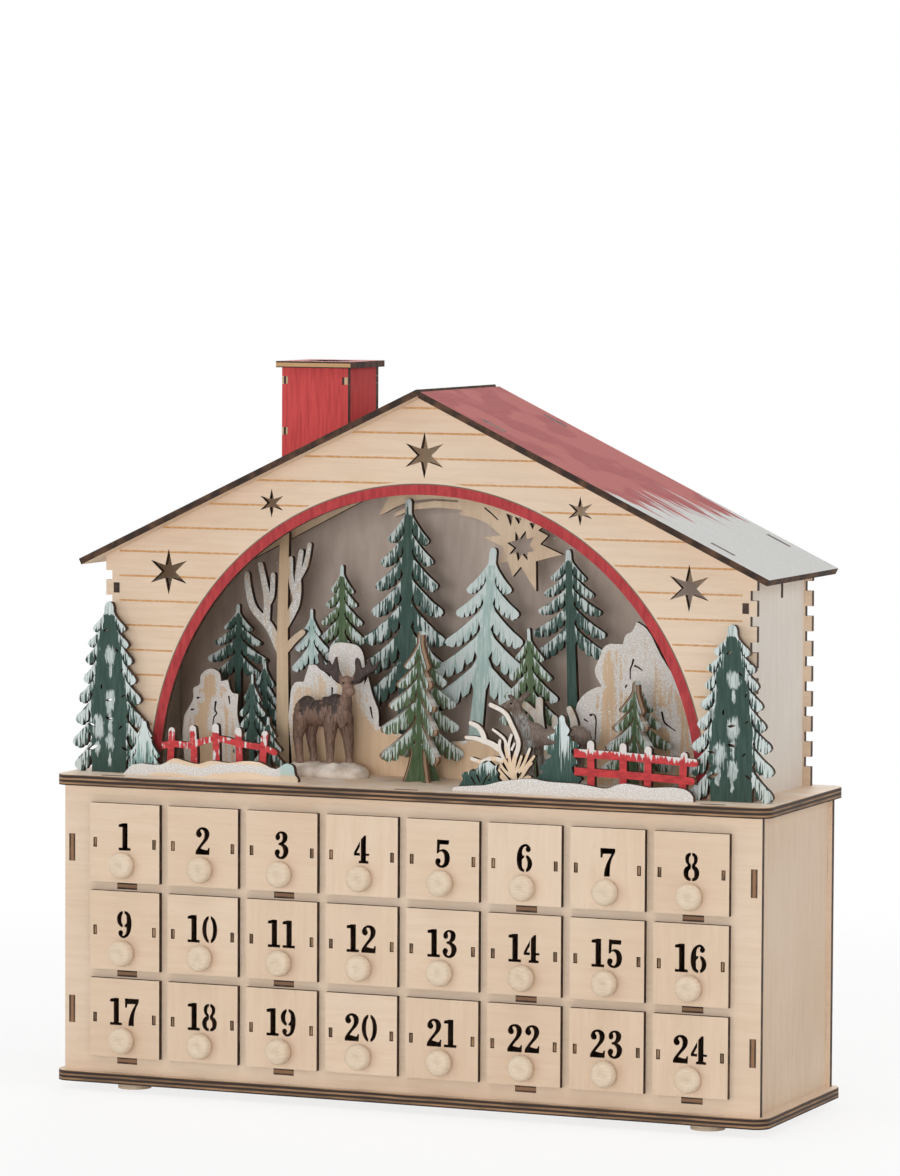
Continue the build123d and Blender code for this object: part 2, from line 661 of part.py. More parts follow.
left_bank_y = house_front_y - left_bank_step - ply
right_bank_y = house_front_y - right_bank_step - ply
left_bank_shares = ((-1.10, 0), (-1.06, 0.045), (-0.97, 0.062), (-0.91, 0.07), (-0.83, 0.056), (-0.76, 0.05),
                    (-0.70, 0.06), (-0.62, 0.068), (-0.55, 0.045), (-0.50, 0.043), (-0.43, 0))
right_bank_shares = ((0.155, 0), (0.19, 0.03), (0.28, 0.048), (0.37, 0.06), (0.47, 0.075), (0.56, 0.07),
                     (0.65, 0.044), (0.70, 0.036), (0.76, 0.052), (0.86, 0.068), (0.96, 0.054), (1.0, 0.04),
                     (1.03, 0))
finish("snow_banks", scenery(left_bank_shares, (-0.95, -0.60), left_bank_y, True),
       scenery(right_bank_shares, (0.35, 0.86), right_bank_y, True))

# A fence: posts as place and top, and rails as runs, in shares
post_width = 3.6
rail_width = 3.6


# Posts and rails of one sheet; the end posts run through the deck.
def fence(post_shares, rail_shares, y):
    with BuildPart() as rails:
        with BuildSketch(upright(y)):
            for number, (x, top) in enumerate(post_shares):
                deep = -board if number in (0, len(post_shares) - 1) else 0
                limb((x * arch_radius, deep), (x * arch_radius, top * arch_radius), post_width, post_width)
                if deep:
                    seats.append((x * arch_radius, y + ply / 2, post_width, 0))
            for run in rail_shares:
                for start, end in zip(run, run[1:]):
                    limb(*scaled((start, end)), rail_width, rail_width)
        extrude(amount=ply)
    return rails.part


left_post_shares = ((-0.925, 0.154), (-0.845, 0.164), (-0.76, 0.174), (-0.668, 0.167), (-0.57, 0.161))
left_rail_shares = (((-0.965, 0.10), (-0.845, 0.108), (-0.75, 0.128), (-0.668, 0.112), (-0.528, 0.098)),)
right_post_shares = ((0.652, 0.178), (0.769, 0.174), (0.859, 0.167), (0.988, 0.152))
right_rail_shares = (((0.59, 0.150), (1.03, 0.132)), ((0.592, 0.084), (1.018, 0.070)))
finish("fences", fence(left_post_shares, left_rail_shares, left_bank_y + ply),
       fence(right_post_shares, right_rail_shares, right_bank_y + ply))

bush_limb_shares = (
    ((0.37, 0), (0.37, 0.13), 0.05, 0.036), ((0.37, 0.11), (0.345, 0.21), 0.028, 0.024),
    ((0.347, 0.20), (0.281, 0.303), 0.024, 0.018), ((0.365, 0.11), (0.265, 0.195), 0.03, 0.024),
    ((0.275, 0.185), (0.21, 0.241), 0.022, 0.018), ((0.275, 0.19), (0.194, 0.188), 0.022, 0.016),
    ((0.35, 0.13), (0.296, 0.215), 0.018, 0.014), ((0.368, 0.12), (0.363, 0.198), 0.018, 0.014),
    ((0.365, 0.05), (0.335, 0.11), 0.02, 0.016), ((0.375, 0.04), (0.43, 0.152), 0.022, 0.014),
    ((0.39, 0.06), (0.447, 0.122), 0.016, 0.012))
rear_limb_shares = (((0.45, 0.03), (0.385, 0.19), 0.04, 0.034), ((0.385, 0.18), (0.284, 0.277), 0.032, 0.022),
                    ((0.385, 0.17), (0.347, 0.294), 0.028, 0.022), ((0.445, 0.03), (0.47, 0.20), 0.034, 0.028),
                    ((0.468, 0.19), (0.455, 0.266), 0.024, 0.018))


# A bare bush, its foot let into the deck.
def bush(limbs, y):
    with BuildPart() as stems:
        with BuildSketch(upright(y)):
            for start, end, wide, slim in limbs:
                limb(*scaled((start, end)), wide * arch_radius, slim * arch_radius)
            foot = limbs[0][0][0] * arch_radius
            with Locations((foot, 0)):
                Rectangle(bush_tab, 2 * board)
        extrude(amount=ply)
    seats.append((foot, y + ply / 2, bush_tab, 0))
    return stems.part


bush_tab = 6.0
shrub_shares = ((0.16, 0), (0.165, 0.03), (0.185, 0.075), (0.205, 0.08), (0.225, 0.115), (0.25, 0.105),
                (0.27, 0.123), (0.285, 0.10), (0.31, 0.102), (0.318, 0.07), (0.318, 0))
mini_tree_shares = (0.544, 0.270, 0.045, 0.085, 0.050, 4)
mint_tree_shares = (-1.029, 0.188, 0.03, 0.064, 0.040, 4)
finish("shrubs", bush(bush_limb_shares, right_bank_y + ply),
       bush(rear_limb_shares, stage_y + rear_bush_setback), scenery(shrub_shares, (0.24,), right_bank_y + ply),
       flat_spruce(mini_tree_shares, right_bank_y + 2 * ply), flat_spruce(mint_tree_shares, left_bank_y + ply))

# Cast figures: stations along the body as place, half width, low and high shares of the height
moose_height = 57.0
doe_height = 45.0
leg_width_share = 0.055
leg_taper = 2
blade_thick_share = 0.05
body_flats = 12               # facets round a body and its base
limb_flats = 8                # facets round a neck, head or leg


# Half widths along x and y of a faceted oval, as a sketch in hand
def oval(half_x, half_y):
    turns = [2 * pi * (k + 0.5) / body_flats for k in range(body_flats)]
    Polygon(*[(half_x * cos(turn), half_y * sin(turn)) for turn in turns], align=None)


# A standing animal on its base: barrel, legs, neck, head, and antlers or ears, in shares of its height
def figure(height, foot, stations, legs, neck, head, base, blade_shares, blade_turns):
    def at(x, y, z):
        return Vector(foot[0] + x * height, foot[1] + y * height, deck_top + z * height)

    base_long, base_deep, base_thick = [share * height for share in base]
    with BuildPart() as animal:
        with BuildSketch(Plane.XY.offset(deck_top)):
            with Locations(foot):
                oval(base_long / 2, base_deep / 2)
        extrude(amount=base_thick)
        chamfer(animal.edges().group_by(Axis.Z)[-1], base_thick / 3)
        for x, half, low, high in stations:
            with BuildSketch(Plane(origin=at(x, 0, (low + high) / 2), x_dir=(0, 1, 0), z_dir=(1, 0, 0))):
                oval(half * height, (high - low) * height / 2)
        loft(ruled=True)
        for x, y, top in legs:
            with BuildSketch(Plane(origin=at(x, y, top), x_dir=(1, 0, 0), z_dir=(0, 0, -1))):
                RegularPolygon(leg_width_share * height, limb_flats)
            extrude(amount=top * height - base_thick / 2, taper=leg_taper)
        for (x, y, z, radius), (to_x, to_y, to_z, to_radius) in (neck, head):
            axis = at(to_x, to_y, to_z) - at(x, y, z)
            with BuildSketch(Plane(origin=at(x, y, z), z_dir=axis)):
                RegularPolygon(radius * height, limb_flats)
            with BuildSketch(Plane(origin=at(to_x, to_y, to_z), z_dir=axis)):
                RegularPolygon(to_radius * height, limb_flats)
            loft(ruled=True)
        for turn in blade_turns:
            across = Vector(1, 0, 0).rotate(Axis.Z, turn)
            crown = at(*head[0][:3])
            with BuildSketch(Plane(origin=crown, x_dir=across, z_dir=across.cross(Vector(0, 0, 1)))):
                Polygon(*[(x * height, z * height) for x, z in blade_shares], align=None)
            extrude(amount=blade_thick_share * height / 2, both=True)
    return animal.part


moose_body_shares = ((-0.29, 0.06, 0.40, 0.56), (-0.24, 0.12, 0.33, 0.61), (-0.05, 0.135, 0.31, 0.60),
                  (0.08, 0.125, 0.31, 0.65), (0.14, 0.06, 0.40, 0.60))
moose_leg_shares = ((-0.22, -0.07, 0.42), (-0.22, 0.07, 0.42), (0.06, -0.07, 0.40), (0.06, 0.07, 0.40))
moose_neck_shares = ((0.08, 0.0, 0.52, 0.10), (0.155, -0.03, 0.70, 0.065))
moose_head_shares = ((0.145, 0.0, 0.735, 0.065), (0.19, -0.17, 0.64, 0.042))
moose_base_shares = (0.74, 0.37, 0.085)
palm_shares = ((0, 0), (0.12, -0.02), (0.22, 0.06), (0.32, 0.14), (0.31, 0.19), (0.25, 0.15), (0.26, 0.24),
               (0.20, 0.17), (0.17, 0.27), (0.13, 0.16), (0.08, 0.24), (0.05, 0.08))
palm_turns = (18, 162)
moose_foot = (-0.424 * arch_radius, stage_y + moose_setback)
finish("moose", figure(moose_height, moose_foot, moose_body_shares, moose_leg_shares, moose_neck_shares,
                       moose_head_shares, moose_base_shares, palm_shares, palm_turns))

doe_body_shares = ((-0.24, 0.06, 0.42, 0.60), (-0.15, 0.12, 0.36, 0.66), (0.08, 0.12, 0.36, 0.60),
                (0.26, 0.11, 0.36, 0.62), (0.32, 0.06, 0.42, 0.56))
doe_leg_shares = ((-0.14, -0.06, 0.45), (-0.14, 0.06, 0.45), (0.24, -0.06, 0.45), (0.24, 0.06, 0.45))
doe_neck_shares = ((-0.15, 0.0, 0.56, 0.09), (-0.30, -0.01, 0.80, 0.06))
doe_head_shares = ((-0.275, 0.0, 0.845, 0.07), (-0.46, -0.02, 0.775, 0.036))
doe_base_shares = (0.90, 0.40, 0.07)
ear_shares = ((0, 0), (0.06, 0.04), (0.12, 0.15), (0.04, 0.10))
ear_turns = (40, -40)
doe_foot = (0.50 * arch_radius, stage_y + doe_setback)
finish("doe", figure(doe_height, doe_foot, doe_body_shares, doe_leg_shares, doe_neck_shares,
                     doe_head_shares, doe_base_shares, ear_shares, ear_turns))

# Deck, slotted for all that stands on it and for the chest's own tabs
with BuildPart() as deck_board:
    with BuildSketch(Plane.XY.offset(deck_bottom)):
        with Locations((0, middle_y)):
            RectangleRounded(board_width, board_depth, board_corner)
        with Locations(*panel_tab_places):
            Rectangle(edge_tab + slot_play, ply + slot_play, mode=Mode.SUBTRACT)
        for x, y, length, turn in seats:
            with Locations(Location((x, y), turn)):
                Rectangle(length + slot_play, ply + slot_play, mode=Mode.SUBTRACT)
    extrude(amount=board)
finish("deck_board", deck_board.part)
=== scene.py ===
import math
import random

import bpy
from mathutils import Matrix, Vector
from mathutils.geometry import delaunay_2d_cdt
from mathutils.kdtree import KDTree


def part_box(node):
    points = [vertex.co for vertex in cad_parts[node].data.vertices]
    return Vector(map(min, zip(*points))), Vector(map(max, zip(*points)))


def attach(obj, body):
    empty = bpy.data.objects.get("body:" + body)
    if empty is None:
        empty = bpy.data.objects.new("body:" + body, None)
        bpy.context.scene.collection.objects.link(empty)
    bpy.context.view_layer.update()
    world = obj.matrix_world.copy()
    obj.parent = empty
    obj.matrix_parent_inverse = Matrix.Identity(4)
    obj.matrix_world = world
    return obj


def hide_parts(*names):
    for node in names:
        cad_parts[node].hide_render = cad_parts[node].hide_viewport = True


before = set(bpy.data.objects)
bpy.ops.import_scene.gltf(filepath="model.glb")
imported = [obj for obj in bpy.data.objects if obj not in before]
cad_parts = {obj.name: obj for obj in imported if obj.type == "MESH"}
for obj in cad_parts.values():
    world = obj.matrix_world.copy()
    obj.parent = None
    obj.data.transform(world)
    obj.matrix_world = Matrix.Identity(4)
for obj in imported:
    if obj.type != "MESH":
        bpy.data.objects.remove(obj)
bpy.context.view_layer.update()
mm = 0.001
print("frame loaded:", len(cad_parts), "nodes")

# Places that the frame gives
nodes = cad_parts
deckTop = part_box("deck_board")[1].z
frontLow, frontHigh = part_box("house_front")
houseHalf = frontHigh.x
archRadius = houseHalf - 28.5 * mm
rowPitch = 41.6 * mm  # from one row of drawers to the next
stageY = frontHigh.y
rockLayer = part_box("bare_tree")[0].y
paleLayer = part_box("pale_spruce")[0].y
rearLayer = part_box("tall_spruce")[0].y
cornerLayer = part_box("corner_trees")[0].y
leftBankY, rightBankY = frontLow.y - 12.4 * mm, frontLow.y - 15.4 * mm
ply = frontHigh.y - frontLow.y


# Camera
cameraLook = {"place": (0.9916, -2.3740, 0.4129), "turn": (86.168, -0.286, 22.654), "lens": 168.3,
              "height": 36}
camera = bpy.data.objects.new("camera", bpy.data.cameras.new("camera"))
bpy.context.scene.collection.objects.link(camera)
camera.location = cameraLook["place"]
camera.rotation_euler = [math.radians(angle) for angle in cameraLook["turn"]]
camera.data.lens = cameraLook["lens"]
camera.data.sensor_fit = "VERTICAL"
camera.data.sensor_height = cameraLook["height"]
bpy.context.scene.camera = camera
bpy.context.scene.view_settings.view_transform = "Standard"


def colour(red, green, blue):  # screen values 0 to 255, as the shader wants them
    parts = [part / 255 for part in (red, green, blue)]
    return [part / 12.92 if part < 0.04045 else ((part + 0.055) / 1.055) ** 2.4 for part in parts] + [1.0]


def operator(operation, swapped=False):
    def applied(self, other=0.0):
        return self.paint.maths(operation, *((other, self) if swapped else (self, other)))
    return applied


class Wire:  # one socket, so that sums read as Python
    __add__, __radd__ = operator("ADD"), operator("ADD", True)
    __sub__, __rsub__ = operator("SUBTRACT"), operator("SUBTRACT", True)
    __mul__, __rmul__ = operator("MULTIPLY"), operator("MULTIPLY", True)
    __truediv__, __pow__ = operator("DIVIDE"), operator("POWER")
    __mod__, __abs__ = operator("FLOORED_MODULO"), operator("ABSOLUTE")

    def __init__(self, paint, socket):
        self.paint, self.socket = paint, socket


class Paint:  # a material, or the world, and the nodes that it is mixed from
    def __init__(self, name, world=False):
        self.material = (bpy.data.worlds if world else bpy.data.materials).new(name)
        self.material.use_nodes = True
        self.tree = self.material.node_tree
        self.shader = self.tree.nodes["Background" if world else "Principled BSDF"]
        self.place = self.node("TexCoord", output="Object")
        self.x, self.y, self.z = self.axes(self.place)
        self.facing = self.axes(self.node("TexCoord", output="Normal"))

    def node(self, kind, settings=None, inputs=None, output=0):
        made = self.tree.nodes.new("ShaderNode" + kind)
        for key, value in (settings or {}).items():
            setattr(made, key, value)
        for key, value in (inputs or {}).items():
            self.feed(made.inputs[key], value)
        return Wire(self, made.outputs[output])

    def feed(self, socket, value):
        if isinstance(value, Wire):
            self.tree.links.new(value.socket, socket)
        else:
            socket.default_value = value

    def maths(self, operation, *values):
        return self.node("Math", {"operation": operation}, dict(enumerate(values)))

    def axes(self, vector):
        parts = self.node("SeparateXYZ", None, {0: vector})
        return [Wire(self, socket) for socket in parts.socket.node.outputs]

    def stretch(self, scale, vector=None):
        return self.node("VectorMath", {"operation": "MULTIPLY"}, {0: vector or self.place, 1: scale})

    def noise(self, scale, detail=2.0, rough=0.5, vector=None):
        if not isinstance(scale, (int, float)):
            vector, scale = self.stretch(scale, vector), 1.0
        return self.node("TexNoise", None, {"Vector": vector or self.place, "Scale": scale,
                                            "Detail": detail, "Roughness": rough})

    def step(self, value, low, high):  # 0 below low, 1 above high
        return self.node("MapRange", {"interpolation_type": "SMOOTHSTEP"},
                         {"Value": value, "From Min": low, "From Max": high})

    def band(self, value, low, high, soft):  # 1 between low and high
        return self.step(value, low - soft, low) * (1 - self.step(value, high, high + soft))

    def mix(self, factor, *tones):
        first, second = [colour(*tone) if isinstance(tone, tuple) else tone for tone in tones]
        return self.node("Mix", {"data_type": "RGBA"}, {0: factor, 6: first, 7: second}, output=2)

    def larger(self, *values):
        return self.maths("MAXIMUM", *values)

    def seen(self):  # 1 for what the camera sees, also in gloss and through glass
        rays = self.node("LightPath").socket.node.outputs
        straight, glossy, through = [Wire(self, rays[f"Is {kind} Ray"]) for kind in
                                     ("Camera", "Glossy", "Transmission")]
        return self.larger(straight, self.larger(glossy, through))

    def uv(self, layer):
        return self.axes(self.node("UVMap", {"uv_map": layer}))[:2]

    def shares(self):  # place across and above the deck, in shares of the arch's radius
        return self.x / archRadius, (self.z - deckTop) / archRadius

    def faces(self, axis):  # 1 where the surface looks along axis, either way
        return self.step(abs(self.facing["xyz".index(axis)]), 0.5, 0.7)

    def edge(self, axis):  # 1 on the cut edges of a panel that faces along axis
        return 1 - self.step(abs(self.facing["xyz".index(axis)]), 0.55, 0.75)

    def done(self, base, roughness=0.6, bump=None, depth=0.0002, strength=0.5):
        self.feed(self.shader.inputs["Base Color"], base)
        self.feed(self.shader.inputs["Roughness"], roughness)
        self.shader.inputs["Specular IOR Level"].default_value = 0.3
        if bump is not None:
            raised = self.node("Bump", None, {"Strength": strength, "Distance": depth, "Height": bump})
            self.feed(self.shader.inputs["Normal"], raised)
        return self.material


# Depth and strength of the bumps
grainBump, faintBump, brushBump, deepBump = (0.00008, 0.35), (0.0001, 0.3), (0.0001, 0.4), (0.0003, 0.5)

# Timber finishes
woodLook = {"pale": (226, 204, 181), "grain": (212, 185, 158), "fleck": (194, 162, 130),
            "burnt": (44, 31, 25), "scorched": (92, 65, 47), "core": (168, 132, 100),
            "wall": (234, 226, 216), "wallGrain": (220, 209, 196), "tab": (150, 112, 82),
            "ply": (172, 134, 98), "dust": (232, 227, 221)}


def timber(paint, along, pale=None, grain=None):  # bare birch with its grain along x, y or z
    def fibre(long, short, detail, rough=0.5):
        return paint.noise([long if axis == along else short for axis in "xyz"], detail, rough)

    streaks, fibres = fibre(26.0, 330.0, 3.0, 0.6), fibre(90.0, 1500.0, 2.0)
    clouds = paint.noise(14.0, 2.0)
    flecks = paint.step(fibre(140.0, 1100.0, 1.0), 0.66, 0.76)
    shade = paint.step(streaks * 0.45 + fibres * 0.20 + clouds * 0.55, 0.42, 0.84)
    wood = paint.mix(shade * 0.8, pale or woodLook["pale"], grain or woodLook["grain"])
    return paint.mix(flecks * 0.16, wood, woodLook["fleck"]), fibres * 0.5 + streaks * 0.5


def cutEdge(paint):  # laser-burnt edge with lighter scorched patches
    sooty = paint.noise([160.0, 160.0, 160.0], 3.0)
    return paint.mix(paint.step(sooty, 0.35, 0.75), woodLook["burnt"], woodLook["scorched"])


def tabCore(paint, axis, node):  # pale middle of the tab ends that show in the chest's front and back
    low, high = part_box(node)
    if axis == "x":
        across = (abs(paint.x) - low.x) / (high.x - low.x)
    else:
        across = ((paint.z - low.z) % rowPitch) / ply
    return paint.faces("y") * paint.band(across, 0.30, 0.70, 0.08)


def panelPaint(name, axis, along, pale=None, grain=None, tabs=None):
    paint = Paint(name)
    wood, fibres = timber(paint, along, pale, grain)
    base = paint.mix(paint.edge(axis), wood, cutEdge(paint))
    if tabs:
        base = paint.mix(tabCore(paint, axis, tabs) * 0.85, base, woodLook["tab"])
    return paint.done(base, 0.62, fibres, *grainBump)


def boardPaint(name, node, dusting=0.0):  # thick board with five plies showing along its edges
    low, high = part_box(node)
    paint = Paint(name)
    wood, fibres = timber(paint, "x")
    layer = (paint.z - low.z) / (high.z - low.z) + (paint.noise(60.0, 1.0) - 0.5) * 0.06
    stripe = paint.band((layer * 2.5) % 1.0, 0.34, 0.70, 0.06)
    soot = paint.step(paint.noise([45.0, 45.0, 500.0], 3.0), 0.30, 0.70)
    dust = paint.noise(75.0, 3.0, 0.6) + (paint.noise(1500.0, 1.0) - 0.5) * 0.5
    wood = paint.mix(paint.step(dust, 0.42, 0.80) * dusting, wood, woodLook["dust"])
    edge = paint.mix(stripe * (0.30 + 0.60 * soot), woodLook["burnt"], woodLook["ply"])
    return paint.done(paint.mix(paint.edge("z"), wood, edge), 0.6, fibres, *grainBump)


def paintNode(material, *names):
    for name in names:
        nodes[name].data.materials.clear()
        nodes[name].data.materials.append(material)


paintNode(boardPaint("deck_ply", "deck_board", 0.75), "deck_board")
paintNode(boardPaint("base_ply", "base_board"), "base_board")
paintNode(panelPaint("chest_ply", "y", "x"), "chest_front", "chest_back", "house_back")
paintNode(panelPaint("side_ply", "x", "z", tabs="chest_right_side"),
          "chest_left_side", "chest_right_side", "drawer_dividers")
paintNode(panelPaint("wall_ply", "x", "z", woodLook["wall"], woodLook["wallGrain"]),
          "house_left_wall", "house_right_wall")
paintNode(panelPaint("shelf_ply", "z", "x", tabs="drawer_shelves"), "drawer_shelves")

# House front: siding lines, the red border of the arch and the burnt edges
sidingLook = {"start": 11.3 * mm, "pitch": 11.75 * mm, "half": 0.46 * mm, "margin": 7.2 * mm,
              "line": (198, 142, 80), "red": (178, 58, 60), "deepRed": (150, 40, 46), "border": 4.7 * mm,
              "outline": 0.5 * mm}
sharp = 0.1 * mm  # over which a painted line fades


def housePaint():
    look, paint = sidingLook, Paint("house_ply")
    wood, fibres = timber(paint, "x")
    height = paint.z - deckTop
    radius = (paint.x * paint.x + height * height) ** 0.5
    front = paint.step(paint.facing[1] * -1.0, 0.5, 0.7)
    half, side, rim = look["half"], houseHalf - look["margin"], archRadius + look["border"]
    offset = (height - look["start"] + look["pitch"] / 2) % look["pitch"] - look["pitch"] / 2
    wobble = (paint.noise(240.0, 1.0) - 0.5) * 0.25 * mm
    line = 1 - paint.step(abs(offset + wobble), half * 0.6, half * 1.2)
    line = line * (1 - paint.step(abs(paint.x), side, side + 0.4 * mm))
    line = line * paint.step(radius, rim + 1.2 * mm, rim + 1.8 * mm)
    dashes = 0.65 + 0.35 * paint.step(paint.noise([420.0, 1.0, 90.0], 2.0), 0.35, 0.6)
    wood = paint.mix(line * front * dashes, wood, look["line"])
    brush = paint.noise([500.0, 500.0, 120.0], 3.0)
    red = paint.mix(paint.step(brush, 0.3, 0.75), look["red"], look["deepRed"])
    border = 1 - paint.step(radius, rim - sharp, rim + sharp)
    outline = paint.band(radius, rim, rim + look["outline"], sharp)
    wood = paint.mix(border * front, wood, red)
    wood = paint.mix(outline * front * 0.8, wood, woodLook["burnt"])
    base = paint.mix(paint.edge("y"), wood, cutEdge(paint))
    return paint.done(base, 0.6, fibres * 0.15 + (1 - line * front), *deepBump)


paintNode(housePaint(), "house_front")

# Roof: red upper slopes, snow on the lower ones, bare beneath
roofLook = {"red": (176, 92, 88), "blotch": (152, 62, 63), "brushed": (192, 128, 122),
            "snow": (210, 210, 207), "frost": (240, 240, 238), "line": 0.64, "lip": 16 * mm}


def roofPaint():
    look, paint = roofLook, Paint("roof_paint")
    wood, fibres = timber(paint, "y")
    low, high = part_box("roof_right")
    lip = 1 - paint.step(paint.y, low.y, low.y + look["lip"])  # snow creeps up along the front edge
    share = abs(paint.x) / high.x + lip * 0.16
    streak = paint.noise([22.0, 330.0, 22.0], 3.0, 0.6) - 0.5
    drift = paint.noise(26.0, 2.0) - 0.5
    snow = paint.step(share + streak * 0.60 + drift * 0.22, look["line"], look["line"] + 0.05)
    glitter = paint.step(paint.noise(1800.0, 1.0), 0.56, 0.72)
    white = paint.mix(glitter, look["snow"], look["frost"])
    blots = paint.step(paint.noise(38.0, 1.5), 0.47, 0.56)
    red = paint.mix(blots * 0.85, look["red"], look["blotch"])
    red = paint.mix(paint.noise([500.0, 60.0, 500.0], 3.0) * 0.35, red, look["brushed"])
    top = paint.step(paint.facing[2], 0.4, 0.6)
    edge = 1 - paint.step(abs(paint.facing[2]), 0.6, 0.8)
    base = paint.mix(edge, paint.mix(top, wood, paint.mix(snow, red, white)), cutEdge(paint))
    return paint.done(base, 0.75, fibres * 0.2 + snow * top * (0.6 + glitter * 0.6), 0.0004, 0.5)


paintNode(roofPaint(), "roof_left", "roof_right")

# Chimney: red walls with bare tab ends and burnt corners
chimneyLook = {"red": (198, 72, 70), "dark": (168, 50, 52), "bare": (196, 168, 132), "tab": 1.75 * mm,
               "drop": 6 * mm, "stride": 24 * mm, "capRed": (172, 84, 80), "capDark": (146, 56, 56),
               "capPly": (190, 152, 108)}


def chimneyPaint():
    look, paint = chimneyLook, Paint("chimney_paint")
    low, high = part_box("chimney_walls")
    grain = paint.step(paint.noise([900.0, 900.0, 60.0], 3.0), 0.35, 0.75)
    red = paint.mix(grain * 0.8, look["red"], look["dark"])
    nearEdge = paint.larger(1 - paint.step(paint.y, low.y + ply, low.y + ply + sharp),
                            paint.step(paint.y, high.y - ply - sharp, high.y - ply))
    stride, tab, half = look["stride"], look["tab"], (high.x - low.x) / 2
    fromTop = (high.z - paint.z - look["drop"] + stride / 2) % stride
    tabRow = 1 - paint.step(abs(fromTop - stride / 2), tab, tab + sharp)
    aside = abs(paint.x - (low.x + high.x) / 2)
    tabColumn = paint.step(aside, half - ply, half - ply + sharp)
    tabColumn = tabColumn * (1 - paint.step(aside, half - sharp / 2, half))
    layers = paint.step(abs(((paint.x - low.x) / ply) % 1.0 - 0.5), 0.15, 0.25)
    bare = paint.mix(layers, woodLook["burnt"], look["bare"])
    base = paint.mix(paint.faces("y") * tabRow * tabColumn, red, bare)
    base = paint.mix(paint.faces("x") * nearEdge, base, cutEdge(paint))
    return paint.done(base, 0.62, grain, *brushBump)


def capPaint():
    look, paint = chimneyLook, Paint("chimney_cap_paint")
    low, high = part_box("chimney_cap")
    wear = paint.noise([60.0, 700.0, 700.0], 3.0)
    red = paint.mix(paint.step(wear, 0.4, 0.7), look["capRed"], look["capDark"])
    stripe = paint.band((paint.z - low.z) / (high.z - low.z), 0.2, 0.72, 0.08)
    edge = paint.mix(stripe, woodLook["burnt"], look["capPly"])
    edge = paint.mix(paint.faces("x"), edge, cutEdge(paint))
    return paint.done(paint.mix(paint.edge("z"), red, edge), 0.65, wear, *brushBump)


paintNode(chimneyPaint(), "chimney_walls")
paintNode(capPaint(), "chimney_cap")

# Backdrop: taupe evening sky with sparse flakes
skyLook = {"sky": (214, 197, 185), "dusk": (204, 186, 173), "flake": (240, 237, 232)}


def skyPaint():
    paint = Paint("sky_paint")
    brush = paint.noise([240.0, 240.0, 60.0], 3.0)
    sky = paint.mix(paint.step(brush, 0.3, 0.7), skyLook["sky"], skyLook["dusk"])
    spots = paint.node("TexVoronoi", None, {"Vector": paint.place, "Scale": 120.0, "Randomness": 1.0})
    size = paint.noise(300.0, 1.0) * 0.16
    flakes = 1 - paint.step(spots - size * paint.step(paint.noise(70.0, 1.0), 0.5, 0.6), 0.0, 0.03)
    base = paint.mix(flakes, sky, skyLook["flake"])
    return paint.done(paint.mix(paint.edge("y"), base, cutEdge(paint)), 0.7, brush, *faintBump)


paintNode(skyPaint(), "backdrop_panel")
print("panels painted")


# Laser-burnt edge that every flat cut-out shares
def burntPaint():
    paint = Paint("burnt_edge")
    return paint.done(cutEdge(paint), 0.75, paint.noise(400.0, 2.0), *faintBump)


def paleEdgePaint():  # edges of the crossed blades: burnt skins, a pale core, and a snow-white painted highlight on the edges that face up
    paint = Paint("pale_edge")
    across = paint.uv("rim")[1]  # 0 at the front face, 1 at the back
    streak = paint.noise([700.0, 700.0, 300.0], 2.0)
    core = paint.band(across + (streak - 0.5) * 0.2, 0.18, 0.56, 0.08)
    base = paint.mix(core * 0.85, woodLook["scorched"], (172, 146, 120))
    # painted highlight: edges that face up are whitened, standing in for light from above
    base = paint.mix(paint.step(paint.facing[2], 0.70, 0.90) * 0.85, base, (206, 212, 210))
    return paint.done(base, 0.75, streak, *faintBump)


burntEdge, paleEdge = burntPaint(), paleEdgePaint()

# Modelling helpers; faces are picked, not points
bpy.context.tool_settings.mesh_select_mode = (False, False, True)


def clear():
    if bpy.context.object and bpy.context.object.mode != "OBJECT":
        bpy.ops.object.mode_set(mode="OBJECT")
    bpy.ops.object.select_all(action="DESELECT")


def pick(*pieces):
    clear()
    for piece in pieces:
        piece.select_set(True)
    bpy.context.view_layer.objects.active = pieces[0]


def tidyMesh(piece, gap=0.02 * mm):  # doubles merged, faces outwards
    pick(piece)
    bpy.ops.object.mode_set(mode="EDIT")
    bpy.ops.mesh.select_all(action="SELECT")
    bpy.ops.mesh.remove_doubles(threshold=gap)
    bpy.ops.mesh.normals_make_consistent(inside=False)
    bpy.ops.object.mode_set(mode="OBJECT")


def joined(name, pieces):
    pick(*pieces)
    if len(pieces) > 1:
        bpy.ops.object.join()
    piece = bpy.context.object
    piece.name = piece.data.name = name
    return piece


def copied(piece, shift):
    pick(piece)
    bpy.ops.object.duplicate()
    twin = bpy.context.object
    twin.data.transform(Matrix.Translation(shift))
    return twin


def modified(piece, kind, **settings):  # add one modifier and apply it
    pick(piece)
    bpy.ops.object.modifier_add(type=kind)
    modifier = piece.modifiers[-1]
    for key, value in settings.items():
        setattr(modifier, key, value)
    bpy.ops.object.modifier_apply(modifier=modifier.name)
    return piece


def neighbours(loop):  # each point with the next one
    return zip(loop, loop[1:] + loop[:1])


def markRim(mesh, loops, front, foot, thickness):  # how far in from the outline, and through the sheet
    rim = KDTree(4 * sum(len(loop) for loop in loops))
    for loop in loops:
        for a, b in neighbours(loop):
            for t in (0.0, 0.25, 0.5, 0.75):
                rim.insert((a[0] + (b[0] - a[0]) * t, 0.0, a[1] + (b[1] - a[1]) * t), 0)
    rim.balance()
    layer = mesh.uv_layers.new(name="rim")
    for corner in mesh.loops:
        spot = mesh.vertices[corner.vertex_index].co
        inner = rim.find((spot.x, 0.0, spot.z - foot))[2] / mm
        layer.data[corner.index].uv = (inner, (spot.y - front) / thickness)


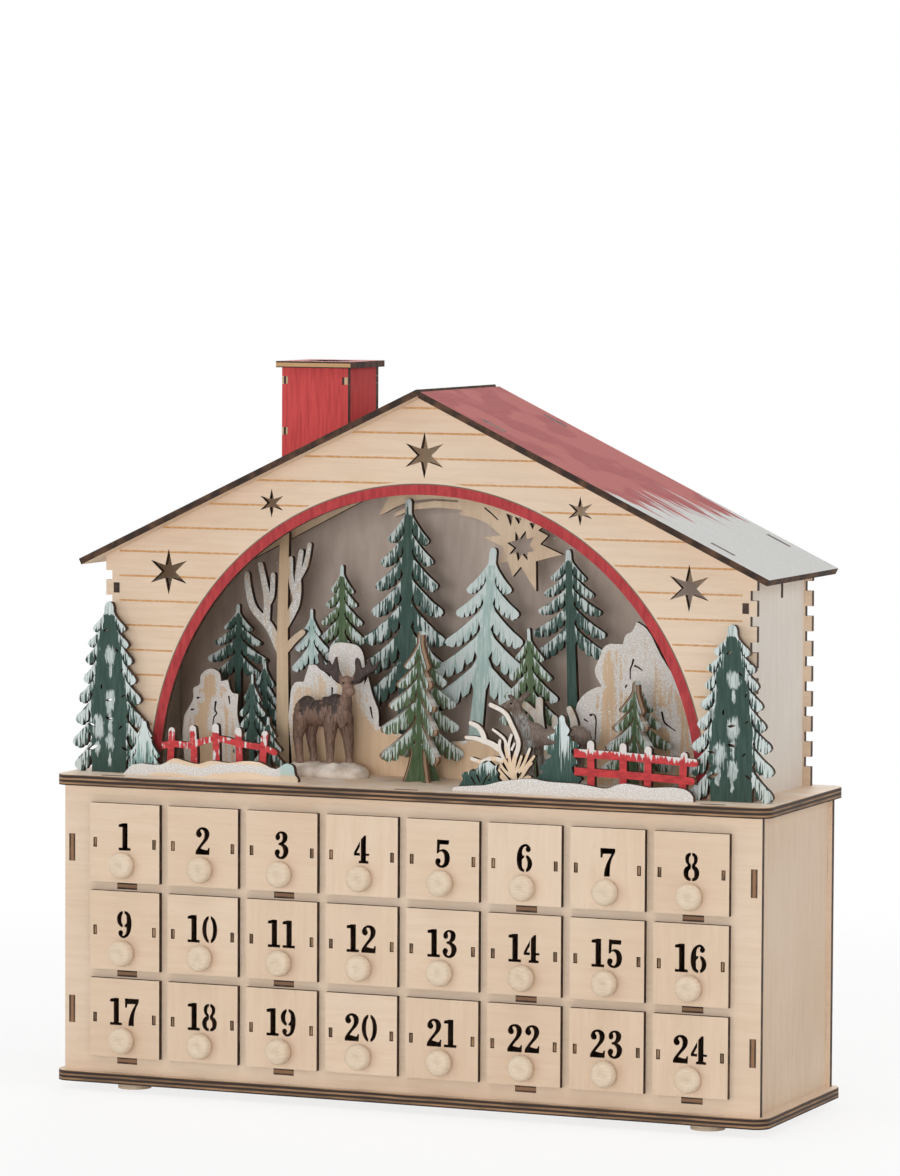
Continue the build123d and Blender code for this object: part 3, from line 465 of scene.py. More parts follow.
def cutSheet(name, outlines, holes, front, finish=None, foot=0.0, thickness=ply, grid=0.0):
    loops, rings, spots = [], [], []  # a sheet cut along its outlines, standing upright
    for loop in [*outlines, *holes]:
        area = sum(a[0] * b[1] - b[0] * a[1] for a, b in neighbours(loop))
        loops.append(loop if area > 0 else loop[::-1])
        rings.append(list(range(len(spots), len(spots) + len(loop))))
        spots += [Vector((x / mm, z / mm)) for x, z in loops[-1]]
    if grid:  # inner points, for paint that follows the outline
        left, right = min(spot.x for spot in spots), max(spot.x for spot in spots)
        low, high = min(spot.y for spot in spots), max(spot.y for spot in spots)
        across, up = int((right - left) / grid), int((high - low) / grid)
        spots += [Vector((left + (i + 0.5) * grid, low + (j + 0.5) * grid))
                  for i in range(across) for j in range(up)]
    cut = delaunay_2d_cdt(spots, [], rings, 1, 1e-4)
    points, faces, sources = cut[0], cut[2], cut[5]
    kept = [face for face, source in zip(faces, sources) if source and max(source) < len(outlines)]
    mesh = bpy.data.meshes.new(name)
    mesh.from_pydata([(spot.x * mm, front, foot + spot.y * mm) for spot in points], [], kept)
    piece = bpy.data.objects.new(name, mesh)
    bpy.context.collection.objects.link(piece)
    pick(piece)
    bpy.ops.object.mode_set(mode="EDIT")
    bpy.ops.mesh.select_all(action="SELECT")
    bpy.ops.mesh.delete_loose()
    bpy.ops.mesh.select_all(action="SELECT")
    bpy.ops.mesh.extrude_region_move(TRANSFORM_OT_translate={"value": (0.0, thickness, 0.0)})
    bpy.ops.object.mode_set(mode="OBJECT")
    tidyMesh(piece, 0.005 * mm)
    if finish:
        mesh.materials.append(finish)
        mesh.materials.append(burntEdge)
        for face in mesh.polygons:
            face.material_index = 0 if abs(face.normal.y) > 0.7 else 1
    if grid:
        markRim(mesh, loops, front, foot, thickness)
    return piece


def dress(piece, slot, *replaced):
    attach(piece, "house")
    if replaced:
        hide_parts(*replaced)


def rounded(points, corner=50.0, steps=3):  # a closed outline, rounded wherever it turns gently
    count = len(points)
    spots = [Vector(point) for point in points]
    ways = [spots[(k + 1) % count] - spots[k] for k in range(count)]
    gentle = [abs(math.degrees(ways[k - 1].angle_signed(ways[k], 0.0))) < corner for k in range(count)]
    smooth = []
    for k in range(count):
        after = (k + 1) % count
        start, end, way = spots[k], spots[after], ways[k]
        leave = arrive = way
        if gentle[k]:
            leave = (ways[k - 1].normalized() + way.normalized()).normalized() * way.length
        if gentle[after]:
            arrive = (way.normalized() + ways[after].normalized()).normalized() * way.length
        for s in range(steps):
            t = s / steps
            smooth.append(tuple(start * (2 * t**3 - 3 * t**2 + 1) + leave * (t**3 - 2 * t**2 + t)
                                + end * (3 * t**2 - 2 * t**3) + arrive * (t**3 - t**2)))
            if not gentle[k] and not gentle[after]:
                break
    return smooth


def crescent(middle, outer, inner, low, high, steps=10):
    def arc(radii, start, end):
        turns = [math.radians(start + (end - start) * k / steps) for k in range(steps + 1)]
        return [(middle[0] + radii[0] * math.cos(t), middle[1] + radii[1] * math.sin(t)) for t in turns]

    centre, half = (low + high) / 2, 0.86 * (high - low) / 2  # the inner arc is a little shorter
    return arc(outer, low, high) + arc(inner, centre + half, centre - half)


# Stencil numerals of height 1, each a list of islands
six = [rounded([(.285, 0), (.285, .09), (.22, .15), (.20, .30), (.21, .45), (.285, .53), (.285, .60),
       (.22, .585), (.205, .70), (.25, .86), (.33, .92), (.37, .89), (.34, .83), (.36, .74), (.44, .71),
       (.51, .75), (.53, .84), (.47, .94), (.36, 1), (.24, .98), (.11, .88), (.03, .70), (0, .50),
       (.01, .30), (.07, .12), (.17, .03)]), crescent((.31, .31), (.28, .31), (.10, .22), -80, 80)]
numerals = {
    0: [crescent((.30, .50), (.30, .50), (.13, .40), 97, 263), crescent((.30, .50), (.30, .50),
        (.13, .40), -83, 83)],
    1: [[(0, 0), (.48, 0), (.48, .10), (.36, .10), (.36, 1), (.20, 1), (0, .95), (0, .85), (.15, .85),
        (.15, .10), (0, .10)]],
    2: [rounded([(.02, .72), (.03, .83), (.10, .93), (.20, .985), (.30, 1), (.42, .975), (.51, .90),
        (.55, .79), (.54, .68), (.49, .57), (.40, .46), (.28, .33), (.20, .22), (.34, .19), (.44, .175),
        (.485, .19), (.50, .26), (.56, .26), (.545, 0), (0, 0), (0, .10), (.08, .24), (.20, .40),
        (.29, .52), (.34, .63), (.35, .77), (.31, .88), (.25, .915), (.19, .89), (.20, .84), (.245, .76),
        (.235, .68), (.17, .625), (.08, .64)])],
    3: [rounded([(.03, .76), (.05, .87), (.13, .96), (.26, 1), (.40, .975), (.49, .89), (.505, .77),
        (.46, .64), (.36, .555), (.47, .49), (.54, .37), (.53, .22), (.45, .08), (.32, 0), (.20, 0),
        (.08, .05), (.01, .16), (.01, .27), (.07, .345), (.16, .34), (.21, .27), (.19, .19), (.16, .13),
        (.22, .075), (.28, .10), (.33, .19), (.335, .33), (.29, .44), (.22, .49), (.15, .50), (.15, .58),
        (.23, .60), (.29, .68), (.31, .80), (.28, .90), (.23, .925), (.18, .89), (.21, .82), (.20, .72),
        (.13, .665), (.06, .69)])],
    4: [[(0, .27), (.235, .27), (.235, .37), (.11, .37), (.235, .60), (.235, .80), (0, .37)],
        [(.27, .10), (.19, .09), (.19, 0), (.57, 0), (.57, .09), (.47, .10), (.47, .28), (.60, .28),
        (.60, .36), (.47, .36), (.47, 1), (.40, 1), (.27, .86)]],
    5: [rounded([(.07, 1), (.54, .99), (.52, .83), (.18, .83), (.17, .62), (.27, .665), (.39, .65),
        (.51, .56), (.565, .40), (.55, .22), (.46, .07), (.32, 0), (.18, .005), (.07, .06), (.01, .16),
        (.02, .27), (.08, .33), (.17, .325), (.215, .26), (.20, .18), (.165, .125), (.22, .08),
        (.29, .10), (.345, .20), (.355, .38), (.32, .52), (.24, .585), (.16, .555), (.115, .50),
        (.06, .50)])],
    6: six,
    7: [rounded([(.02, 1), (.58, 1), (.58, .88), (.48, .68), (.41, .46), (.385, .20), (.385, 0),
        (.16, 0), (.18, .20), (.26, .46), (.36, .66), (.44, .80), (.20, .80), (.12, .79), (.10, .66),
        (.03, .66)], 35)],
    8: [rounded([(.265, 1), (.16, .97), (.075, .88), (.06, .75), (.09, .64), (.16, .55), (.06, .47),
        (.005, .36), (0, .25), (.05, .10), (.15, .02), (.265, 0), (.265, .10), (.20, .14), (.18, .26),
        (.20, .37), (.265, .44), (.265, .59), (.21, .66), (.20, .76), (.22, .86), (.265, .90)])],
    9: [[(.57 - x, 1 - z) for x, z in island] for island in six]}
numerals[8].append([(.58 - x, z) for x, z in numerals[8][0]][::-1])


# Drawers: a plate with cut numerals, a tray and a turned knob
drawerLook = {"width": 36.3 * mm, "height": 37.4 * mm, "digit": 13.0 * mm, "digitFoot": -3.4 * mm,
              "digitGap": 0.10, "slot": (1.9 * mm, 4.6 * mm), "slotPlace": 15.4 * mm, "slotPlay": 0.8 * mm,
              "tray": (32.8 * mm, 94.0 * mm, 34.0 * mm), "wall": 2.0 * mm, "trayRim": 34.5 * mm,
              "knobRise": 8.4 * mm, "columnPitch": 40.65 * mm, "rowFoot": 14.6 * mm, "tint": (203, 176, 146),
              "knob": (222, 204, 182), "knobGrain": (210, 188, 162)}
knobRings = ((0.0, 4.7), (0.9, 4.6), (1.7, 5.3), (3.1, 6.15), (4.3, 6.15), (5.6, 5.75), (6.5, 5.2),
             (6.95, 4.5), (7.0, 1.6), (6.6, 1.1), (6.3, 0.5))  # out from the plate, radius, in millimetres


def rectangle(width, height, x=0.0, z=0.0):
    corners = ((-1, -1), (1, -1), (1, 1), (-1, 1))
    return [(x + width / 2 * across, z + height / 2 * up) for across, up in corners]


def platePaint():
    paint = Paint("drawer_ply")
    column = paint.maths("FLOOR", paint.x / drawerLook["columnPitch"] + 20.0)
    row = paint.maths("FLOOR", (paint.z - drawerLook["rowFoot"]) / rowPitch)
    cell = paint.node("CombineXYZ", None, {0: column, 2: row})
    chance = paint.node("TexWhiteNoise", {"noise_dimensions": "3D"}, {"Vector": cell})
    (level, levelFibres), (upright, uprightFibres) = timber(paint, "x"), timber(paint, "z")
    turned = paint.step(chance, 0.55, 0.56)
    wood = paint.mix(turned, level, upright)
    wood = paint.mix((chance * 7.31) % 1.0 * 0.30, wood, drawerLook["tint"])
    return paint.done(wood, 0.62, levelFibres * (1 - turned) + uprightFibres * turned, *grainBump)


def trayPaint():
    paint = Paint("tray_ply")
    wood, fibres = timber(paint, "y")
    height, rim = (paint.z - drawerLook["rowFoot"]) % rowPitch, drawerLook["trayRim"]
    burnt = paint.step(abs(paint.facing[2]), 0.6, 0.8) * paint.step(height, rim, rim + 0.5 * mm)
    return paint.done(paint.mix(burnt, wood, cutEdge(paint)), 0.66, fibres, *grainBump)


def tabEndPaint():
    paint = Paint("tab_end")
    soot = paint.step(paint.noise([900.0, 900.0, 120.0], 2.0), 0.35, 0.7)
    wood = paint.mix(0.25 + soot * 0.75, woodLook["burnt"], woodLook["core"])
    return paint.done(wood, 0.7, soot, *brushBump)


def knobPaint(name):
    paint = Paint(name)
    rings = paint.noise([260.0, 50.0, 1500.0], 3.0, 0.6)
    clouds = paint.noise(60.0, 2.0)
    grain = paint.step(rings * 0.7 + clouds * 0.3, 0.35, 0.7)
    wood = paint.mix(grain, drawerLook["knob"], drawerLook["knobGrain"])
    return paint.done(wood, 0.5, rings, 0.00005, 0.2)


def turnedKnob():
    clear()
    first = knobRings[0]
    bpy.ops.mesh.primitive_circle_add(vertices=28, radius=first[1] * mm, fill_type="NGON",
                                      rotation=(math.pi / 2, 0.0, 0.0))
    knob = bpy.context.object
    bpy.ops.object.transform_apply(location=True, rotation=True, scale=True)
    bpy.ops.object.mode_set(mode="EDIT")
    bpy.ops.mesh.select_all(action="SELECT")
    for (out, radius), (nextOut, nextRadius) in zip(knobRings, knobRings[1:]):
        bpy.ops.mesh.extrude_region_move(TRANSFORM_OT_translate={"value": (0.0, (out - nextOut) * mm, 0.0)})
        share = nextRadius / radius
        bpy.ops.transform.resize(value=(share, share, share), center_override=(0.0, -nextOut * mm, 0.0))
    bpy.ops.object.mode_set(mode="OBJECT")
    tidyMesh(knob, 0.01 * mm)
    bpy.ops.object.shade_smooth_by_angle(angle=math.radians(40))
    return knob


def openTray():
    clear()
    width, length, height = drawerLook["tray"]
    bpy.ops.mesh.primitive_cube_add(size=1, location=(0.0, length / 2, (height - drawerLook["height"]) / 2),
                                    scale=(width, length, height))
    tray = bpy.context.object
    bpy.ops.object.transform_apply(location=True, rotation=True, scale=True)
    for face in tray.data.polygons:
        face.select = face.normal.z > 0.5 or face.normal.y < -0.5
    bpy.ops.object.mode_set(mode="EDIT")
    bpy.ops.mesh.delete(type="FACE")
    bpy.ops.object.mode_set(mode="OBJECT")
    modified(tray, "SOLIDIFY", thickness=drawerLook["wall"], offset=-1.0, use_even_offset=True)
    return tray


def tabStub(side):  # end of a tray wall, showing through the plate
    clear()
    (width, height), play = drawerLook["slot"], drawerLook["slotPlay"]
    bpy.ops.mesh.primitive_cube_add(size=1, location=(side * drawerLook["slotPlace"], -ply / 2, 0.0),
                                    scale=(width - play, ply - play / 4, height - play))
    stub = bpy.context.object
    bpy.ops.object.transform_apply(location=True, rotation=True, scale=True)
    return modified(stub, "BEVEL", width=0.12 * mm, segments=1)


def numeralLoops(number):
    size, gap, foot = drawerLook["digit"], drawerLook["digitGap"], drawerLook["digitFoot"]
    digits = [numerals[int(digit)] for digit in str(number)]
    widths = [max(x for island in digit for x, z in island) for digit in digits]
    start = -(sum(widths) + gap * (len(digits) - 1)) / 2
    loops = []
    for digit, width in zip(digits, widths):
        loops += [[((start + x) * size, foot + z * size) for x, z in island] for island in digit]
        start += width + gap
    return loops


def makeDrawers():
    look, plateWood, tabWood = drawerLook, platePaint(), tabEndPaint()
    knob, tray, stubs = turnedKnob(), openTray(), [tabStub(-1), tabStub(1)]
    parts = (knob, tray, *stubs)
    for part, material in zip(parts, (knobPaint("knob_wood"), trayPaint(), tabWood, tabWood)):
        part.data.materials.append(material)
    slots = [rectangle(*look["slot"], side * look["slotPlace"]) for side in (-1, 1)]
    knobShift = Vector((0.0, -ply, look["knobRise"] - look["height"] / 2))
    for number in range(1, 25):
        name = f"drawer_{number:02d}"
        low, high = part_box(name)
        spot = Vector(((low.x + high.x) / 2, high.y - look["tray"][1], high.z - look["height"] / 2))
        plate = cutSheet(name + "_front", [rectangle(look["width"], look["height"])],
                         slots + numeralLoops(number), -ply, plateWood)
        plate.data.transform(Matrix.Translation(spot))
        pieces = [plate, copied(tray, spot), copied(knob, spot + knobShift)]
        drawer = joined(name + "_dressed", pieces + [copied(stub, spot) for stub in stubs])
        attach(drawer, name + "_body")
        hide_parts(name)
    for part in parts:
        bpy.data.objects.remove(part)
    print("drawers made")


makeDrawers()
paintNode(knobPaint("foot_wood"), "feet")

# Spruces: places and sizes are shares of the arch's radius
crownShare = 0.45
spruceLook = {"frost": (208, 218, 216), "dark": ((54, 77, 70), (68, 91, 83)),
              "green": ((78, 98, 68), (97, 115, 84)), "pale": ((164, 187, 182), (184, 203, 199)),
              "mint": ((160, 186, 180), (196, 212, 208)), "corner": ((45, 67, 60), (57, 80, 72))}
spruceKinds = {"dark7": ("spruce_dark_tall", "dark", 0.10), "dark5": ("spruce_dark", "dark", 0.16),
               "dark4": ("spruce_dark_short", "dark", 0.08), "green5": ("spruce_green_tall", "green", 0.16),
               "green4": ("spruce_green_short", "green", 0.16), "pale5": ("spruce_pale", "pale", 0.45),
               "mint3": ("spruce_mint_small", "mint", 0.30), "corner": ("spruce_corner", "corner", 0.26)}
cornerPatches = ((0.04, 0.316, 0.17, 0.060), (0.04, 0.41, 0.06, 0.055), (0.04, 0.592, 0.17, 0.078),
                 (0.04, 0.71, 0.08, 0.065), (-0.29, 0.75, 0.17, 0.082), (-0.32, 0.87, 0.07, 0.055),
                 (0.04, 0.835, 0.13, 0.068), (0.03, 0.935, 0.05, 0.05), (-0.35, 0.70, 0.08, 0.03))


def sprucePaint(name, body, light, frostAmount, patches=()):
    paint = Paint(name)
    out, under = paint.uv("branch")  # along a branch, and down from its upper edge
    streak = paint.noise([1150.0, 1150.0, 90.0], 2.0, 0.55)
    patch = paint.noise(150.0, 2.0) - 0.5
    bristle = paint.step(streak, 0.40, 0.60)
    ridge = (1 - paint.step(under, 0.02, 0.12)) * 0.30
    amount = (1 - under) * 0.58 + out * 0.36 + patch * 0.8 + bristle * 0.52 + ridge - 0.90 + frostAmount
    frost = paint.step(amount, 0.04, 0.24)
    if patches:  # leaf-shaped patches down a wide body
        u, v = paint.uv("body")
        warp = paint.noise(330.0, 2.0) - 0.5
        for across, down, wide, high in patches:
            ring = ((u + warp * 0.14 - across) / wide) ** 2 + ((v + patch * 0.07 - down) / high) ** 2
            leaf = 1 - paint.step(ring + (streak - 0.5) * 3.0, 0.35, 1.0)
            frost = paint.larger(frost, leaf * 0.88)
    tone = paint.mix(paint.step(paint.noise([700.0, 700.0, 90.0], 2.0), 0.35, 0.7), body, light)
    base = paint.mix(frost * (0.92 - 0.4 * paint.step(streak, 0.52, 0.36)), tone, spruceLook["frost"])
    return paint.done(base, 0.72, streak * 0.4 + frost * 0.8, 0.00025, 0.5)


# Shapes of a branch's tip, of the lobes under it, of a waisted foot and of a cut slit
tipShape = ((-0.1, 0.35), (0.1, 1.1), (-0.5, 1.9))
lobeShape = ((0.10, 0.2, 0.6), (0.30, 0.2, 1.15), (0.56, 0.5, 1.2), (0.78, 0.5, 0.7), (0.88, 0.9, -0.4),
             (0.94, 0.9, -2.1))  # across, place along the branch, depth
footShape = ((0.62, 0.92), (0.56, 0.72), (0.72, 0.40), (1.0, 0.0))
slitShape = ((-1.0, 0.0), (-0.3, -1.0), (0.4, -0.7), (1.0, 0.0), (0.2, 1.0), (-0.5, 0.6))


class SpruceSide:  # one half of a spruce: its stem and its branches
    def __init__(self, tree, rng):
        self.tree, self.rng = tree, rng
        top, tiers, body = tree["top"], tree["tiers"], tree.get("body", 0.0)
        gaps = [0.75 + 0.5 * tier / (tiers - 1) for tier in range(tiers)]
        cap = 0.85 * gaps[0]
        rise = (top - tree["skirt"]) / (cap + sum(gaps) + 0.25)
        root = self.cap = top - cap * rise
        self.rows = []
        for tier, gap in enumerate(gaps):
            tall = gap * rise
            grown = min(1.0, 1.2 * tier / (tiers - 1)) ** 0.9
            spread = tree["reach"] * (crownShare + (1 - crownShare) * grown) * rng.uniform(0.94, 1.04)
            stem = max(self.stem(root), body * spread * (0.45 + 0.55 * min(1.0, tier / 2)))
            drop = tall * tree.get("drop", 1.18) * rng.uniform(0.95, 1.05)
            self.rows.append((stem, spread, root, drop, tall))
            root -= tall
        last = (max(self.stem(root), body * spread), spread * 1.15, root, tall * 1.1, tall)
        self.stacked = list(zip(self.rows, self.rows[1:] + [last]))  # each branch with the one below

    def stem(self, height):  # half the width of the stem
        share = (self.tree["top"] - height) / self.tree["top"]
        return max(self.tree["trunk"] * (0.24 + 0.26 * share), self.tree.get("core", 0.0))

    def upper(self, row, across):  # upper edge of a branch
        stem, spread, root, drop, gap = row
        share = max(0.0, min(1.0, (across - stem) / (spread - stem)))
        return root - drop * (1 - (1 - share) ** 1.3)

    def outline(self):
        top, teeth = self.tree["top"], self.tree.get("teeth", 4)
        half = self.stem(self.cap) * 0.95
        points = [(half * 0.30, top), (half * 0.72, top - half * 0.30), (half * 0.94, top - half),
                  (half, self.cap + half * 0.4)]
        for row, below in self.stacked:
            stem, spread, root, drop, gap = row
            knob = self.tree.get("knob", 0.16) * gap

            def hung(across, height):  # keeps clear of the branch below
                return across, max(height, self.upper(below, across) + 0.10 * gap)

            for share in (0.10, 0.28, 0.48, 0.68, 0.86):
                across = stem + (spread - stem) * share
                points.append((across, self.upper(row, across)))
            tip = root - drop
            points += [hung(spread + knob * out, tip - knob * down) for out, down in tipShape]
            far, near = spread - knob, max(below[0], stem) + 0.05 * spread
            start, end = tip - knob * 1.7, below[2] + 0.26 * gap
            width = (far - near) / teeth
            for tooth in range(teeth):
                deep = gap * self.rng.uniform(0.07, 0.12)
                for across, place, down in lobeShape:
                    along = (tooth + place) / teeth
                    line = start + (end - start) * along - 0.20 * gap * math.sin(math.pi * along)
                    points.append(hung(far - width * tooth - width * across, line - deep * down))
            points.append((below[0], max(below[2] + 0.16 * gap, 0.4 * mm)))
        if self.tree.get("body"):
            return points + [(below[0], 0.0)]
        if "foot" not in self.tree:
            return points + [(self.tree["trunk"] / 2, 0.0)]
        rest = points[-1][1]
        return points + [(self.tree["foot"] * wide, rest * up) for wide, up in footShape]

    def reading(self, across, height):  # how far along a branch and how far under its upper edge
        if height > self.cap:
            return 0.9, 0.1
        for row, below in self.stacked:
            upper = self.upper(row, across)
            if across > row[0] * 0.98 and self.upper(below, across) < height <= upper + 0.1 * mm:
                return across / row[1], min(1.0, (upper - height) / (0.9 * row[4]))
        return 0.0, 1.0


def spruceLoops(tree, sides):
    right, left = [side.outline() for side in sides]
    half, meet = (ply + 0.1 * mm) / 2, tree["top"] / 2 - 2.5 * mm
    for side in (right, left):
        if tree.get("slot") == "foot":  # halved from below, for the blade that crosses it
            side += [(half, 0.0), (half, meet)]
        if tree.get("slot") == "top":  # halved from above
            while side[0][0] < half:
                side.pop(0)
            side[:0] = [(half, meet), (half, side[0][1] + 0.3 * mm)]
    slits = []
    for x, z, turn, long in tree.get("slits", ()):
        across = Vector((math.cos(math.radians(turn)), math.sin(math.radians(turn)))) * long * mm
        aside = Vector((-across.y, across.x)) * 0.34
        middle = Vector((x * archRadius, z * archRadius))
        slits.append([tuple(middle + across * along + aside * out) for along, out in slitShape])
    return right + [(-x, z) for x, z in left[::-1]], slits


def makeSpruce(name, shares, front, seed, finish, turn=0.0, lean=0.0, **extra):
    x, top, skirt, reach, trunk = [share * archRadius for share in shares[:5]]
    tree = {"top": top, "skirt": skirt, "reach": reach, "trunk": trunk, "tiers": shares[5], **extra}
    rng = random.Random(seed)
    sides = SpruceSide(tree, rng), SpruceSide(tree, rng)
    outline, slits = spruceLoops(tree, sides)
    piece = cutSheet(name, [outline], slits, -ply / 2, finish, grid=1.3)
    branch, body = piece.data.uv_layers.new(name="branch"), piece.data.uv_layers.new(name="body")
    for loop in piece.data.loops:
        spot = piece.data.vertices[loop.vertex_index].co
        branch.data[loop.index].uv = sides[0 if spot.x > 0 else 1].reading(abs(spot.x), spot.z)
        body.data[loop.index].uv = (spot.x / reach, (top - spot.z) / (top - skirt))
    slant = Matrix.Identity(4)
    slant[0][2] = -lean
    place = Matrix.Translation((x + lean * top, front + ply / 2, deckTop))
    piece.data.transform(place @ Matrix.Rotation(math.radians(turn), 4, "Z") @ slant)
    return piece


# Slits through the corner trees: place in shares of the arch's radius, turn and half length in millimetres
cornerSlits = ((-0.012, 0.50, 20, 1.7), (0.03, 0.43, -50, 1.5), (-0.03, 0.30, 80, 1.6),
               (0.0, 0.255, 8, 2.2), (0.0, 0.19, -12, 2.4), (0.055, 0.27, 25, 1.4),
               (-0.07, 0.165, -8, 2.2), (-0.065, 0.085, 22, 3.2), (0.06, 0.085, -30, 2.0),
               (0.045, 0.16, 40, 1.5), (0.05, 0.36, 60, 1.3))
spruceFinish = {kind: sprucePaint(name, *spruceLook[tone], frost, cornerPatches if kind == "corner" else ())
                for kind, (name, tone, frost) in spruceKinds.items()}

# Where the spruces stand: middle, top, skirt, reach and trunk, then the number of tiers
singleSpruces = {
    "tall_spruce": ((-0.186, 0.968, 0.27, 0.170, 0.050, 7), rearLayer, "dark7", "spruce_green", -0.02),
    "left_spruce": ((-0.841, 0.580, 0.32, 0.129, 0.030, 4), rearLayer, "dark4", "spruce_green", 0.0),
    "green_spruce": ((-0.440, 0.730, 0.40, 0.096, 0.029, 5), rearLayer, "green5", "spruce_green", 0.0),
    "right_spruce": ((0.412, 0.807, 0.45, 0.145, 0.045, 5), rearLayer, "dark5", "spruce_green", 0.035),
    "pale_spruce": ((0.143, 0.807, 0.27, 0.190, 0.056, 5), paleLayer, "pale5", "frost_green", -0.10)}
smallSpruces = (((0.284, 0.534, 0.22, 0.115, 0.025, 4), rockLayer, "green4", 0.04),
                ((-0.546, 0.573, 0.37, 0.080, 0.024, 3), paleLayer, "mint3", 0.0),
                ((-0.727, 0.390, 0.11, 0.080, 0.025, 4), paleLayer, "dark4", 0.0),
                ((-0.727, 0.345, 0.08, 0.072, 0.022, 4), stageY + 20.6 * mm, "dark4", 0.0),
                ((-0.647, 0.200, 0.04, 0.066, 0.020, 3), stageY + 15.6 * mm, "dark4", 0.0))
cornerTrees = ((-1.176, 0.599, 0.01, 0.140, 0.075, 8), (1.140, 0.594, 0.01, 0.150, 0.075, 8))
crossTrees = {"cross_tree_large": ((-0.066, 0.520, 0.10, 0.150, 0.052, 5), stageY + 16.0 * mm, "green5"),
              "cross_tree_small": ((0.748, 0.381, 0.09, 0.132, 0.045, 4), stageY + 9.6 * mm, "green4")}


def makeSpruces():
    for seed, (node, (shares, front, kind, slot, lean)) in enumerate(singleSpruces.items()):
        dress(makeSpruce(node + "_cut", shares, front, seed, spruceFinish[kind], lean=lean), slot, node)
    for number, (shares, front, kind, lean) in enumerate(smallSpruces):
        tree = makeSpruce(f"small_spruce_{number + 1}", shares, front, 20 + number, spruceFinish[kind],
                          lean=lean, teeth=3)
        dress(tree, "spruce_green", "small_spruces")
    for number, shares in enumerate(cornerTrees):
        tree = makeSpruce(f"corner_tree_{number + 1}", shares, cornerLayer, 30 + number,
                          spruceFinish["corner"], body=0.50, teeth=2, drop=0.86, knob=0.2, slits=cornerSlits)
        dress(tree, "spruce_green", "corner_trees")
    for node, (shares, middle, kind) in crossTrees.items():
        for turn, slot in ((45.0, "foot"), (-45.0, "top")):
            blade = makeSpruce(f"{node}_{slot}", shares, middle - ply / 2, 40, spruceFinish[kind], turn,
                               slot=slot, core=ply / 2 + 0.4 * mm, foot=1.25 * shares[4] * archRadius)
            blade.data.materials[1] = paleEdge
            dress(blade, "spruce_green", node)
    print("spruces cut")


makeSpruces()


# Outlines and limbs in thousandths of the arch's radius
def sized(points):
    return [(x / 1000 * archRadius, z / 1000 * archRadius) for x, z in points]


def smoothLine(points, steps=5):
    spots = [Vector(point) for point in points]
    line = []
    for k in range(len(spots) - 1):
        a, b = spots[k], spots[k + 1]
        before, after = spots[max(k - 1, 0)], spots[min(k + 2, len(spots) - 1)]
        for s in range(steps):
            t = s / steps
            line.append(0.5 * (2 * a + (b - before) * t + (2 * before - 5 * a + 4 * b - after) * t * t
                               + (3 * a - before - 3 * b + after) * t**3))
    return line + [spots[-1]]


def limbLoop(points, thick, thin):  # outline of a limb that tapers to a round end
    line = smoothLine(sized(points))
    last = len(line) - 1
    ways = [(line[min(k + 1, last)] - line[max(k - 1, 0)]).normalized() for k in range(last + 1)]
    sides = [Vector((way.y, -way.x)) for way in ways]
    halves = [(thick + (thin - thick) * k / last) / 2000 * archRadius for k in range(last + 1)]
    turns = [math.pi * k / 6 for k in range(1, 6)]
    cap = [line[-1] + (sides[-1] * math.cos(turn) + ways[-1] * math.sin(turn)) * halves[-1] for turn in turns]
    return [tuple(spot) for spot in [line[k] + sides[k] * halves[k] for k in range(last + 1)] + cap
            + [line[k] - sides[k] * halves[k] for k in range(last, -1, -1)]]


def limbs(name, strokes, front, finish):
    return cutSheet(name, [limbLoop(*stroke) for stroke in strokes], [], front, finish, deckTop)


def snowGrains(paint, dull, bright, low=0.45, high=0.65, scale=1700.0):
    grit = paint.noise(scale, 1.0)
    return grit, paint.mix(paint.step(grit, low, high), dull, bright)


# Rocks: bare ply under brushed snow, with cut cracks
rockLook = {"snow": (222, 217, 211), "glint": (244, 243, 241), "bare": (230, 202, 170),
            "bareGrain": (208, 176, 142), "crack": (7.5, 4), "corner": 62.0}
leftRock = ((-1000, 0), (-1004, 183), (-985, 215), (-967, 252), (-968, 284), (-943, 300), (-939, 332),
            (-901, 356), (-868, 344), (-860, 313), (-833, 319), (-818, 275), (-793, 270), (-797, 197),
            (-786, 148), (-782, 0))
centreRock = ((-607, 0), (-615, 286), (-598, 314), (-566, 318), (-546, 378), (-520, 378), (-463, 335),
              (-466, 440), (-447, 457), (-393, 459), (-354, 448), (-336, 415), (-334, 315), (-319, 345),
              (-307, 298), (-295, 263), (-280, 228), (-278, 170), (-236, 172), (-200, 150), (-50, 125),
              (100, 140), (185, 130), (185, 0))
rightRock = ((460, 0), (460, 251), (468, 283), (491, 312), (524, 334), (556, 344), (530, 394),
             (545, 437), (570, 485), (633, 492), (644, 525), (664, 534), (683, 570), (720, 546),
             (770, 460), (830, 370), (900, 250), (960, 100), (970, 0))
rockCracks = {
    "left": (((-880, 241), (-884, 211), (-877, 199), (-888, 182), (-892, 150)),
             ((-955, 250), (-940, 253)), ((-978, 208), (-962, 210)), ((-830, 262), (-826, 235))),
    "centre": (((-600, 169), (-588, 154)), ((-456, 302), (-457, 270)), ((-310, 240), (-302, 200))),
    "right": (((672, 442), (668, 424), (661, 406), (661, 373)), ((675, 419), (689, 414), (704, 404)),
              ((512, 242), (529, 244), (536, 226), (535, 191), (533, 155)), ((491, 228), (505, 220)),
              ((777, 265), (785, 232), (798, 219), (826, 201)), ((648, 352), (643, 342)),
              ((700, 330), (712, 318)))}


